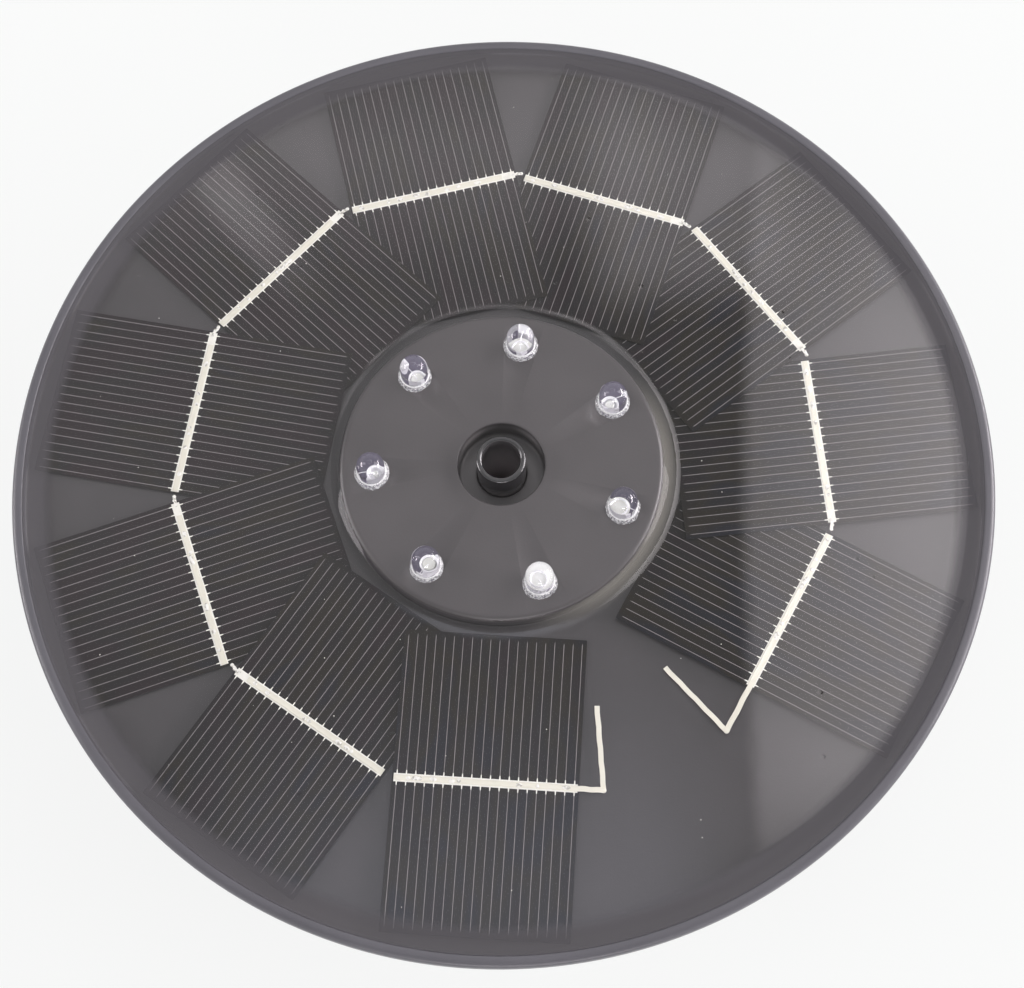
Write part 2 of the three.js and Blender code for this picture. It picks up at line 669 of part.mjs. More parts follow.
function ledBoard() {
  const bottom = LED_BOARD_TOP - LED_BOARD_T;
  const outer = HUB_R - HUB_WALL - GAP;
  const pinHoles = ledPlaces().flatMap(({ angle, x, y }) => [-1, 1].map((side) => (
    rod(LED_PIN / 2 + GAP, bottom - OVERSHOOT, LED_BOARD_TOP + OVERSHOOT, PIN_FACETS)
      .translate(side * LED_PIN_PITCH / 2, 0, 0).rotateZ(angle).translate(x, y, 0)
  )));
  const stakeHoles = turned(STAKE_COUNT, () => (
    rod(STAKE_R + GAP, bottom - OVERSHOOT, LED_BOARD_TOP + OVERSHOOT).translate(STAKE_CIRCLE_R, 0, 0)
  ));
  const disc = ring(LED_BOARD_IN_R, outer, bottom, LED_BOARD_TOP, RING_FACETS);
  return carve([disc], [...pinHoles, ...stakeHoles]);
}

function leds() {
  ledPlaces().forEach(({ angle, x, y }, i) => {
    const mesh = piece(`led_${i + 1}`, led(), clearLens);
    mesh.position.set(x, y, 0);
    mesh.rotation.z = angle;
  });
  piece('led_board', ledBoard(), circuitBoard);
}

// ---- hull
function hullOutline() {
  return [
    [RISER_R + GAP, HULL_Z],
    [SPIGOT_R - SPIGOT_WALL, HULL_Z],
    [SPIGOT_R - SPIGOT_WALL, HULL_Z - SPIGOT_L],
    [SPIGOT_R, HULL_Z - SPIGOT_L],
    [SPIGOT_R, HULL_Z],
    [HULL_FLOOR_R, HULL_Z],
    [HULL_FLOOR_R + HULL_ROUND_W / 2, HULL_Z + HULL_ROUND_H / 4],
    [HULL_FLOOR_R + HULL_ROUND_W, HULL_Z + HULL_ROUND_H],
    [SKIRT_R - EDGE, HULL_SHOULDER - HULL_BAND_H],
    [SKIRT_R, HULL_SHOULDER],
    [TONGUE_R, HULL_SHOULDER],
    [TONGUE_R, TONGUE_TOP],
    [TONGUE_IN_R, TONGUE_TOP],
    [TONGUE_IN_R, HULL_SHOULDER - HULL_WALL],
    [HULL_FLOOR_R + HULL_ROUND_W / 2, FLOOR_Z + HULL_ROUND_H / 2],
    [HULL_FLOOR_R, FLOOR_Z],
    [RISER_R + GAP, FLOOR_Z],
  ];
}

/** Where the control board stands on its posts. */
function boardPosts() {
  const x = BOARD_W / 2 - BOARD_POST_INSET;
  const y = BOARD_D / 2 - BOARD_POST_INSET;
  return [[-x, -y], [x, -y], [x, y], [-x, y]].map(([px, py]) => [px, BOARD_Y + py]);
}

/** Low ribs on the hull's floor that keep the battery in place. */
function batteryRibs() {
  const across = BATTERY_W / 2 + GAP;
  const back = BATTERY_Y - BATTERY_D / 2 - GAP;
  const top = FLOOR_Z + BATTERY_RIB_H;
  const half = BATTERY_RIB_L / 2;
  const sideRib = (side) => block(
    [Math.min(side * across, side * (across + BATTERY_RIB_T)), BATTERY_Y - half, FLOOR_Z - EDGE],
    [Math.max(side * across, side * (across + BATTERY_RIB_T)), BATTERY_Y + half, top],
  );
  const backRib = block([-half, back - BATTERY_RIB_T, FLOOR_Z - EDGE], [half, back, top]);
  return [sideRib(-1), sideRib(1), backRib];
}

/** Centre of each pump screw. */
function pumpScrewPlaces() {
  return PUMP_SCREWS.map(({ side, y }) => [ROTOR_X + side * PUMP_SCREW_X, y]);
}

function bottomHull() {
  const onCircle = (geometry) => geometry.translate(HULL_SCREW_CIRCLE_R, 0, 0);
  const screwEnd = SCREW_HEAD_TOP + SCREW_L;
  const added = [revolve(hullOutline(), RIM_FACETS)];
  added.push(...turned(HULL_SCREWS, () => onCircle(rod(WELL_R, FLOOR_Z - EDGE, WELL_TOP))));
  added.push(...pumpScrewPlaces().map(([x, y]) => (
    rod(PUMP_BOSS_R, FLOOR_Z - EDGE, screwEnd + HULL_WALL).translate(x, y, 0)
  )));
  added.push(...boardPosts().map(([x, y]) => revolve([
    [0, FLOOR_Z - EDGE],
    [BOARD_POST_R, FLOOR_Z - EDGE],
    [BOARD_POST_R, BOARD_Z - GAP],
    [BOARD_STAKE_R, BOARD_Z - GAP],
    [BOARD_STAKE_R, BOARD_Z + BOARD_T + STAKE_PROUD],
    [0, BOARD_Z + BOARD_T + STAKE_PROUD],
  ], SMALL_FACETS).translate(x, y, 0)));
  added.push(rod(BUTTON_FLANGE_R + GAP + GUIDE_WALL, FLOOR_Z - EDGE, GUIDE_TOP, PUMP_FACETS)
    .translate(0, BOARD_Y, 0));
  added.push(...batteryRibs());

  const under = HULL_Z - OVERSHOOT;
  const over = FLOOR_Z + OVERSHOOT;
  const removed = turned(HULL_SCREWS, () => onCircle(rod(WELL_BORE_R, under, WELL_CEILING)));
  removed.push(...turned(HULL_SCREWS, () => (
    onCircle(rod(SCREW_HOLE_R, HULL_Z, WELL_TOP + OVERSHOOT))
  )));
  removed.push(...pumpScrewPlaces().map(([x, y]) => (
    rod(SCREW_HOLE_R, under, screwEnd + GAP).translate(x, y, 0)
  )));
  removed.push(rod(LEAD_HOLE_R, under, over).translate(ROTOR_X, LEAD_Y, 0));
  removed.push(rod(BUTTON_R + GAP, under, over, PUMP_FACETS).translate(0, BOARD_Y, 0));
  removed.push(rod(BUTTON_FLANGE_R + GAP, BUTTON_SEAL_FLOOR, GUIDE_TOP + OVERSHOOT, PUMP_FACETS)
    .translate(0, BOARD_Y, 0));
  return carve(added, removed);
}

/** A cross-recessed pan-head screw pointing up, with the top of its head at z = 0. */
function screw(length) {
  const head = revolve([
    [0, -SCREW_HEAD_H],
    [SCREW_CROWN_R, -SCREW_HEAD_H],
    [SCREW_HEAD_R, -SCREW_HEAD_H / 2],
    [SCREW_HEAD_R, 0],
    [SCREW_R, 0],
    [SCREW_R, length - SCREW_R],
    [0, length],
  ], SMALL_FACETS);
  const recess = (angle) => (
    new THREE.BoxGeometry(2 * SCREW_RECESS_R, SCREW_RECESS_W, 2 * SCREW_RECESS_DEPTH)
      .rotateZ(angle).translate(0, 0, -SCREW_HEAD_H)
  );
  return carve([head], [recess(0), recess(Math.PI / 2)]);
}

function hullFittings() {
  const sealBottom = TONGUE_TOP + GAP;
  const seal = ring(TONGUE_IN_R, TONGUE_R, sealBottom, sealBottom + HULL_SEAL_T, RIM_FACETS);
  piece('hull_seal', seal, rubber);
  for (let i = 0; i < HULL_SCREWS; i += 1) {
    const angle = (i * 2 * Math.PI) / HULL_SCREWS;
    const mesh = piece(`hull_screw_${i + 1}`, screw(HULL_SCREW_L), stainless);
    mesh.position.set(Math.cos(angle), Math.sin(angle), 0).multiplyScalar(HULL_SCREW_CIRCLE_R);
    mesh.position.z = WELL_CEILING - GAP;
  }
}

// ---- pump body
/** The volute's outline seen along the rotor axis: it widens towards the outlet. */
function voluteShape() {
  const shape = new THREE.Shape();
  const start = degrees(VOLUTE_TONGUE_DEG);
  const steps = PUMP_FACETS;
  const points = Array.from({ length: steps + 1 }, (_, i) => {
    const angle = start + ((2 * Math.PI - start) * i) / steps;
    const radius = VOLUTE_START_R + (VOLUTE_GROWTH * i) / steps;
    return new THREE.Vector2(radius * Math.cos(angle), -radius * Math.sin(angle));
  });
  return shape.setFromPoints(points);
}

/** A cylinder on the rotor axis between two stations along it. */
function axial(radius, from, to, facets = PUMP_FACETS) {
  return alongY(rod(radius, from, to, facets)).translate(ROTOR_X, 0, AXIS_Z);
}

/** A shape of revolution on the rotor axis, from (radius, station) points. */
function axialTurning(outline, facets = PUMP_FACETS) {
  return alongY(revolve(outline, facets)).translate(ROTOR_X, 0, AXIS_Z);
}

/** The plate on top of the pump that is screwed to the hull, and the gasket of the same outline. */
function saddleShape(inset = 0) {
  return roundedRectangle(
    ROTOR_X - SADDLE_HALF_W + inset,
    PUMP_FRONT + inset,
    ROTOR_X + SADDLE_HALF_W - inset,
    SADDLE_REAR - inset,
    SADDLE_CORNER_R - inset,
  );
}

function saddleHoles(bottom, top) {
  const holes = pumpScrewPlaces().map(([x, y]) => rod(SCREW_HOLE_R, bottom, top).translate(x, y, 0));
  holes.push(rod(LEAD_HOLE_R, bottom, top).translate(ROTOR_X, LEAD_Y, 0));
  return holes;
}

function pumpBody() {
  const seatPocketR = SEAT_R + SEAL_GAP;
  const added = [
    axial(PUMP_R, PUMP_FRONT, PUMP_REAR),
    plate(saddleShape(), SADDLE_TOP - SADDLE_T, SADDLE_TOP),
    rod(RISER_R, AXIS_Z, RISER_TOP, PUMP_FACETS),
    revolve([
      [0, AXIS_Z],
      [TUBE_R, AXIS_Z],
      [TUBE_R, TUBE_TOP - EDGE / 2],
      [TUBE_R - EDGE / 2, TUBE_TOP],
      [0, TUBE_TOP],
    ], PUMP_FACETS),
  ];
  const volute = alongY(plate(voluteShape(), VOLUTE_FRONT - EDGE, VOLUTE_BACK))
    .translate(ROTOR_X, 0, AXIS_Z);
  const removed = [
    axial(COVER_BORE_R, PUMP_FRONT - OVERSHOOT, VOLUTE_FRONT),
    volute,
    rod(TUBE_BORE_R, AXIS_Z, TUBE_TOP + OVERSHOOT, PUMP_FACETS),
    axial(CAN_BORE_R, VOLUTE_BACK - OVERSHOOT, CAN_BORE_END),
    axial(seatPocketR, CAN_BORE_END - OVERSHOOT, CAN_BORE_END + SEAT_L + SEAL_GAP, SMALL_FACETS),
    axialTurning([
      [CAN_R, MOTOR_FRONT],
      [MOTOR_BORE_R, MOTOR_FRONT],
      [MOTOR_BORE_R, PUMP_REAR + OVERSHOOT],
      [0, PUMP_REAR + OVERSHOOT],
      [0, CAN_END],
      [CAN_R, CAN_END],
    ]),
    ...saddleHoles(SADDLE_TOP - SADDLE_T - OVERSHOOT, SADDLE_TOP + OVERSHOOT),
    rod(LEAD_HOLE_R, AXIS_Z + STATOR_R - OVERSHOOT, SADDLE_TOP).translate(ROTOR_X, LEAD_Y, 0),
  ];
  return carve(added, removed);
}

/** The cover over the volute: a flange, a plug with a seal groove, and spokes that hold the shaft. */
function pumpCover() {
  const plugR = COVER_BORE_R - GAP;
  const plugEnd = VOLUTE_FRONT - GAP;
  const grooveR = plugR - COVER_SEAL_T;
  const grooveFrom = COVER_IN + COVER_RING_T;
  const body = axialTurning([
    [EYE_R, COVER_OUT],
    [EYE_R, plugEnd],
    [plugR, plugEnd],
    [plugR, grooveFrom + COVER_SEAL_W + 2 * SEAL_GAP],
    [grooveR, grooveFrom + COVER_SEAL_W + 2 * SEAL_GAP],
    [grooveR, grooveFrom],
    [plugR, grooveFrom],
    [plugR, COVER_IN],
    [PUMP_R, COVER_IN],
    [PUMP_R, COVER_OUT],
    [grooveR - COVER_RING_T, COVER_OUT],
    [grooveR - COVER_RING_T, plugEnd - COVER_T],
    [EYE_R + COVER_RING_T, plugEnd - COVER_T],
    [EYE_R + COVER_RING_T, COVER_OUT],
  ]);
  const spoke = () => block(
    [(SEAT_R + EYE_HUB_R) / 2, -SPOKE_W / 2, COVER_OUT],
    [EYE_R + COVER_RING_T / 2, SPOKE_W / 2, EYE_HUB_IN],
  );
  const spokes = turned(SPOKES, spoke).map((arm) => alongY(arm).translate(ROTOR_X, 0, AXIS_Z));
  const hub = axial(EYE_HUB_R, COVER_OUT, EYE_HUB_IN, SMALL_FACETS);
  const pocketEnd = EYE_HUB_IN - SEAL_GAP - SEAT_L;
  return carve([body, hub, ...spokes], [axial(SEAT_R + SEAL_GAP, pocketEnd, 0, SMALL_FACETS)]);
}

function pumpHousing() {
  piece('pump_body', pumpBody(), pumpPlastic);
  piece('pump_cover', pumpCover(), pumpPlastic);

  const sealFrom = COVER_IN + COVER_RING_T + SEAL_GAP;
  const sealOutR = COVER_BORE_R - SEAL_GAP;
  piece('cover_seal', axialTurning([
    [sealOutR - COVER_SEAL_T, sealFrom],
    [sealOutR, sealFrom],
    [sealOutR, sealFrom + COVER_SEAL_W],
    [sealOutR - COVER_SEAL_T, sealFrom + COVER_SEAL_W],
  ]), rubber);

  const gasket = plate(saddleShape(GAP), GASKET_Z, GASKET_Z + GASKET_T);
  const under = GASKET_Z - OVERSHOOT;
  const over = GASKET_Z + GASKET_T + OVERSHOOT;
  const holes = [...saddleHoles(under, over), rod(RISER_R + GAP, under, over, PUMP_FACETS)];
  piece('saddle_gasket', carve([gasket], holes), rubber);

  const sealBottom = RISER_TOP + SEAL_GAP;
  piece('tube_seal', ring(
    TUBE_R + SEAL_GAP,
    RISER_R,
    sealBottom,
    sealBottom + TUBE_SEAL_T,
    PUMP_FACETS,
  ), rubber);

  pumpScrewPlaces().forEach(([x, y], i) => {
    piece(`pump_screw_${i + 1}`, screw(SCREW_L), stainless).position.set(x, y, SCREW_HEAD_TOP);
  });
}

// ---- rotor
/** One swept-back blade, drawn in the rotor's plane. */
function blade() {
  const inner = IMPELLER_HUB_R - EDGE;
  const outer = IMPELLER_R - BLADE_TIP_INSET;
  const centreLine = Array.from({ length: BLADE_STEPS + 1 }, (_, i) => {
    const radius = inner + ((outer - inner) * i) / BLADE_STEPS;
    const lag = (degrees(BLADE_SWEEP_DEG) * i) / BLADE_STEPS;
    return new THREE.Vector2(radius * Math.cos(lag), radius * Math.sin(lag));
  });
  const side = (sign) => centreLine.map((point, i) => {
    const ahead = centreLine[Math.min(i + 1, BLADE_STEPS)];
    const behind = centreLine[Math.max(i - 1, 0)];
    const along = ahead.clone().sub(behind).normalize();
    return new THREE.Vector2(-along.y, along.x).multiplyScalar(sign * BLADE_T / 2).add(point);
  });
  const shape = new THREE.Shape([...side(1), ...side(-1).reverse()]);
  return plate(shape, BLADE_FRONT, IMPELLER_BACK - IMPELLER_DISC_T / 2);
}

function impeller() {
  const added = [
    rod(IMPELLER_R, IMPELLER_BACK - IMPELLER_DISC_T, IMPELLER_BACK, PUMP_FACETS),
    rod(IMPELLER_HUB_R, IMPELLER_FRONT, IMPELLER_BACK),
    rod(SLEEVE_R, IMPELLER_BACK - IMPELLER_DISC_T / 2, SLEEVE_END),
    ...turned(BLADES, blade),
  ];
  const bore = rod(SHAFT_R + SHAFT_RUN_GAP, IMPELLER_FRONT - OVERSHOOT, SLEEVE_END + OVERSHOOT);
  return alongY(carve(added, [bore])).translate(ROTOR_X, 0, AXIS_Z);
}

function rotor() {
  piece('impeller', impeller(), whitePlastic);
  piece('rotor_magnet', axialTurning([
    [SLEEVE_R + SEAL_GAP, MAGNET_FRONT],
    [MAGNET_R, MAGNET_FRONT],
    [MAGNET_R, MAGNET_FRONT + MAGNET_L],
    [SLEEVE_R + SEAL_GAP, MAGNET_FRONT + MAGNET_L],
  ]), ferrite);

  const seat = (from) => axialTurning([
    [SHAFT_R + SEAL_GAP, from],
    [SEAT_R, from],
    [SEAT_R, from + SEAT_L],
    [SHAFT_R + SEAL_GAP, from + SEAT_L],
  ], SMALL_FACETS);
  piece('front_shaft_seat', seat(EYE_HUB_IN - SEAT_L), rubber);
  piece('rear_shaft_seat', seat(CAN_BORE_END), rubber);
  const shaftFrom = EYE_HUB_IN - SEAT_L;
  piece('rotor_shaft', axial(SHAFT_R, shaftFrom, CAN_BORE_END + SEAT_L, SMALL_FACETS), ceramic);
}

// ---- stator
/** The laminated core, or with a clearance the space it needs in the winding. */
function statorCore(clearance = 0) {
  const from = STATOR_FRONT - clearance;
  const to = STATOR_FRONT + STATOR_L + clearance;
  const inner = STATOR_R - STATOR_RING_T - clearance;
  const half = TOOTH_W / 2 + clearance;
  const tooth = () => block([TOOTH_TIP_R - clearance, -half, from], [inner + EDGE, half, to]);
  return [
    ring(inner, STATOR_R + clearance, from, to, RING_FACETS),
    ...turned(STATOR_TEETH, tooth),
  ];
}

function stator() {
  const core = carve(statorCore());
  piece('stator_core', alongY(core).translate(ROTOR_X, 0, AXIS_Z), laminations);
  const from = STATOR_FRONT - WINDING_OVERHANG;
  const to = STATOR_FRONT + STATOR_L + WINDING_OVERHANG;
  const potted = ring(TOOTH_TIP_R, STATOR_R - GAP, from, to, RING_FACETS);
  const winding = carve([potted], statorCore(GAP));
  piece('stator_winding', alongY(winding).translate(ROTOR_X, 0, AXIS_Z), copper);
  const plugR = MOTOR_BORE_R - GAP;
  piece('motor_cap', axialTurning([
    [0, CAP_IN],
    [plugR - CAP_T, CAP_IN],
    [plugR - CAP_T, CAP_IN - CAP_PLUG_L],
    [plugR, CAP_IN - CAP_PLUG_L],
    [plugR, CAP_IN],
    [PUMP_R, CAP_IN],
    [PUMP_R, CAP_IN + CAP_T],
    [0, CAP_IN + CAP_T],
  ]), pumpPlastic);
}

// ---- strainer
function strainerCage() {
  const midCorner = CAGE_CORNER_R * (1 - Math.SQRT1_2);
  const insideCorner = CAGE_CORNER_R - CAGE_WALL;
  const cup = revolve([
    [0, 0],
    [CAGE_R - CAGE_CORNER_R, 0],
    [CAGE_R - midCorner, midCorner],
    [CAGE_R, CAGE_CORNER_R],
    [CAGE_R, CAGE_TOP],
    [CAGE_IN_R, CAGE_TOP],
    [CAGE_IN_R, CAGE_FLOOR_T + insideCorner],
    [CAGE_IN_R - insideCorner, CAGE_FLOOR_T],
    [0, CAGE_FLOOR_T],
  ], RIM_FACETS);
  const wallSlot = () => block(
    [CAGE_IN_R - OVERSHOOT, -WALL_SLOT_W / 2, WALL_SLOT_BOTTOM],
    [CAGE_R + OVERSHOOT, WALL_SLOT_W / 2, WALL_SLOT_TOP],
  );
  const floorSlot = () => block(
    [FLOOR_SLOT_IN_R, -FLOOR_SLOT_W / 2, -OVERSHOOT],
    [CAGE_R - FLOOR_SLOT_EDGE, FLOOR_SLOT_W / 2, CAGE_FLOOR_T + OVERSHOOT],
  );
  return carve([cup], [
    ...turned(WALL_SLOTS, wallSlot),
    ...turned(FLOOR_SLOTS, floorSlot, Math.PI / FLOOR_SLOTS),
  ]);
}

// ---- electrics and power button
function electrics() {
  const batteryBottom = FLOOR_Z + GAP;
  const pack = roundedRectangle(
    -BATTERY_W / 2,
    BATTERY_Y - BATTERY_D / 2,
    BATTERY_W / 2,
    BATTERY_Y + BATTERY_D / 2,
    BATTERY_CORNER_R,
  );
  piece('battery_pack', plate(pack, batteryBottom, batteryBottom + BATTERY_H), foilWrap);

  const board = block(
    [-BOARD_W / 2, BOARD_Y - BOARD_D / 2, BOARD_Z],
    [BOARD_W / 2, BOARD_Y + BOARD_D / 2, BOARD_Z + BOARD_T],
  );
  const stakeHoles = boardPosts().map(([x, y]) => (
    rod(BOARD_STAKE_R + GAP, BOARD_Z - OVERSHOOT, BOARD_Z + BOARD_T + OVERSHOOT).translate(x, y, 0)
  ));
  piece('control_board', carve([board], stakeHoles), circuitBoard);

  const half = SWITCH_W / 2;
  const housing = block([-half, BOARD_Y - half, SWITCH_Z], [half, BOARD_Y + half, BOARD_Z - GAP]);
  const plunge = rod(SWITCH_HOLE_R, SWITCH_Z - OVERSHOOT, STEM_TOP + BUTTON_TRAVEL + GAP)
    .translate(0, BOARD_Y, 0);
  piece('push_switch', carve([housing], [plunge]), whitePlastic);

  piece('power_button', revolve([
    [0, HULL_Z - BUTTON_PROUD],
    [BUTTON_R - EDGE, HULL_Z - BUTTON_PROUD],
    [BUTTON_R, HULL_Z - BUTTON_PROUD + EDGE],
    [BUTTON_R, BUTTON_FLANGE_Z],
    [BUTTON_FLANGE_R, BUTTON_FLANGE_Z],
    [BUTTON_FLANGE_R, BUTTON_FLANGE_Z + BUTTON_FLANGE_T],
    [STEM_R, BUTTON_FLANGE_Z + BUTTON_FLANGE_T],
    [STEM_R, STEM_TOP],
    [0, STEM_TOP],
  ], PUMP_FACETS).translate(0, BOARD_Y, 0), rubber);

  piece('button_seal', ring(
    BUTTON_R + SEAL_GAP,
    BUTTON_FLANGE_R,
    BUTTON_SEAL_FLOOR + SEAL_GAP,
    BUTTON_SEAL_FLOOR + SEAL_GAP + BUTTON_SEAL_T,
    PUMP_FACETS,
  ).translate(0, BOARD_Y, 0), rubber);
}

/** The leads from the motor and the battery to the control board. */
function leads() {
  const low = AXIS_Z + STATOR_R + GAP;
  const middle = BOARD_Z + BOARD_T / 2;
  const boardEdge = BOARD_Y + BOARD_D / 2 + GAP;
  const side = ROTOR_X - LEAD_SIDESTEP;
  piece('motor_lead', cable([
    [ROTOR_X, LEAD_Y, low],
    [ROTOR_X, LEAD_Y, low + LEAD_UPRIGHT],
    [ROTOR_X, LEAD_Y, FLOOR_Z],
    [ROTOR_X - LEAD_BEND / 4, LEAD_Y - LEAD_BEND, middle - LEAD_BEND],
    [side, LEAD_Y - LEAD_SWING, middle],
    [side, 0, middle],
    [side, boardEdge + LEAD_TO_BOARD, middle],
    [side, boardEdge, middle],
  ], LEAD_R, MOTOR_LEAD_STEPS), cableJacket);
  const batteryEdge = BATTERY_Y - BATTERY_D / 2 - GAP;
  piece('battery_lead', cable([
    [BATTERY_LEAD_X, batteryEdge, FLOOR_Z + BATTERY_H / 2],
    [BATTERY_LEAD_X, batteryEdge - LEAD_OFF_BATTERY, FLOOR_Z + BATTERY_H / 2],
    [BATTERY_LEAD_X, batteryEdge / 2, middle],
    [BATTERY_LEAD_X, 0, middle],
    [BATTERY_LEAD_X, boardEdge + LEAD_TO_BOARD, middle],
    [BATTERY_LEAD_X, boardEdge, middle],
  ], LEAD_R, BATTERY_LEAD_STEPS), cableJacket);
}

piece('top_tray', topTray(), trayPlastic);
solarCells();
piece('resin_cover', resinCover(), clearResin);
leds();
piece('bottom_hull', bottomHull(), hullPlastic);
hullFittings();
pumpHousing();
rotor();
stator();
piece('strainer_cage', strainerCage(), cagePlastic);
electrics();
leads();

export default fountain;
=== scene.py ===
"""Floating solar fountain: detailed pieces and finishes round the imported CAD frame.

Shapes are worked out in millimetres and become Blender meshes in metres. +Z is up, the outlet
tube stands on the Z axis, and the rotor turns about a line along +Y.
"""
import json
import logging
import math
import random
from dataclasses import dataclass, field
from enum import Enum
from functools import reduce
from typing import Callable, Optional, Sequence, Union

import bmesh
import bpy
from mathutils import Matrix, Quaternion, Vector

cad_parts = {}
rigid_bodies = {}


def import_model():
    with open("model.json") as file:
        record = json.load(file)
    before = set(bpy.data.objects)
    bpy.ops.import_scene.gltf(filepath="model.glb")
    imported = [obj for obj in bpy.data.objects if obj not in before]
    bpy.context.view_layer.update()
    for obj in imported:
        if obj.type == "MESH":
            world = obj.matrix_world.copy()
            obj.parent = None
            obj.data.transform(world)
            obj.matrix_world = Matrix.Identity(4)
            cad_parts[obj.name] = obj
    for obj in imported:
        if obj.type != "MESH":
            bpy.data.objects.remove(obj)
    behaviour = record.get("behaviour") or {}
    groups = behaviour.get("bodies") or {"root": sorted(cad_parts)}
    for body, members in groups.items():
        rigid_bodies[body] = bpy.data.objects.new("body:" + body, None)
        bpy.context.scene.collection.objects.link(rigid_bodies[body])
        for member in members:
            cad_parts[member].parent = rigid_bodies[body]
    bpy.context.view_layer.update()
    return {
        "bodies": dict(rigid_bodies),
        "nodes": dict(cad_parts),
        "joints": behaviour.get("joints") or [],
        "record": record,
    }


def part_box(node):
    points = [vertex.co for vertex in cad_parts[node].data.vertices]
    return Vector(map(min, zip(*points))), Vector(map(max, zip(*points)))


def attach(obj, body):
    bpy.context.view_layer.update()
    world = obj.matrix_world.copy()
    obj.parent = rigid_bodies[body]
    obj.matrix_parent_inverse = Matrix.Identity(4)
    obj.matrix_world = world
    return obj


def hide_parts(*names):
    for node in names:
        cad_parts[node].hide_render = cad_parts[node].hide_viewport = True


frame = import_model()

LOG = logging.getLogger("fountain")
MM = 0.001
UP = Vector((0, 0, 1))
BITE = 0.4
"""How far a joined shape sinks into its neighbour, in millimetres."""
PAST = 1
"""How far a cutting shape runs past the face that it opens, in millimetres."""
Pair = tuple[float, float]
Triple = tuple[float, float, float]
Colour = Triple
Outline = list[Pair]
Piece = bpy.types.Object
SEEN = ("Camera", "Glossy", "Transmission")
"""Rays by which a thing is seen: directly, in gloss or through glass."""
LIGHTING = ("Shadow", "Diffuse")
"""Rays that only carry light to a matt surface or from one."""


class Body(Enum):
    """The frame's bodies that a piece rides on. The rotor keeps its CAD nodes."""

    DISC = "disc"
    BUTTON = "button"
    STRAINER = "strainer"


# ---------- node trees as expressions
def operator(operation: str, swapped: bool = False) -> Callable[..., "Sock"]:
    """Args: operation, a Math node's; swapped, whether the other value comes first.
    Returns: a method of Sock that adds the node."""

    def method(first: "Sock", *others: "Value") -> "Sock":
        """Args: first, the method's own output; others, values. Returns: the node's result."""
        values = (*others, first) if swapped else (first, *others)
        return first.graph.node("ShaderNodeMath", {"operation": operation}, dict(enumerate(values)))

    return method


class Sock:
    """A node's output, which Python arithmetic turns into Math nodes."""

    def __init__(self, graph: "Graph", socket: bpy.types.NodeSocket) -> None:
        """Args: graph, the tree that the node is in; socket, its output."""
        self.graph = graph
        self.socket = socket

    __add__ = __radd__ = operator("ADD")
    __sub__ = operator("SUBTRACT")
    __rsub__ = operator("SUBTRACT", swapped=True)
    __mul__ = __rmul__ = operator("MULTIPLY")
    __truediv__ = operator("DIVIDE")
    __pow__ = operator("POWER")
    most = operator("MAXIMUM")
    wave = operator("SINE")
    over = operator("GREATER_THAN")
    """1 where this is above the limit, and 0 elsewhere."""


Value = Union[Sock, float, int, bool, Sequence[float], bpy.types.ID]


def opaque(colour: Union[Sock, Colour]) -> Value:
    """Args: colour, linked or plain. Returns: it as a node's input takes it."""
    return colour if isinstance(colour, Sock) else (*colour, 1)


class Graph:
    """A node tree that is written in Python."""

    def __init__(self, tree: bpy.types.NodeTree) -> None:
        """Args: tree, the empty tree to fill."""
        self.tree = tree

    def node(self, kind: str, settings: Optional[dict] = None, inputs: Optional[dict] = None,
             output: Union[str, int] = 0) -> Sock:
        """Adds a node.

        Args:
            kind: the node's type.
            settings: its own properties, or "stops" for a colour ramp, which are set first.
            inputs: values or links for its inputs, by name or place.
            output: which output to hand back.

        Returns:
            That output.
        """
        made = self.tree.nodes.new(kind)
        for name, value in (settings or {}).items():
            if name == "stops":
                self._stops(made.color_ramp, value)
            else:
                setattr(made, name, value)
        for key, value in (inputs or {}).items():
            self.feed(made.inputs[key], value)
        return Sock(self, made.outputs[output])

    def feed(self, socket: bpy.types.NodeSocket, value: Value) -> None:
        """Args: socket, an input; value, what it is linked or set to."""
        if isinstance(value, Sock):
            self.tree.links.new(value.socket, socket)
        else:
            socket.default_value = value

    @staticmethod
    def _stops(ramp: bpy.types.ColorRamp, stops: list[tuple[float, Colour]]) -> None:
        """Args: ramp, a new colour ramp; stops, its places and colours."""
        for place, _ in stops[2:]:
            ramp.elements.new(place)
        for element, (place, colour) in zip(ramp.elements, sorted(stops)):
            element.position = place
            element.color = (*colour, 1)


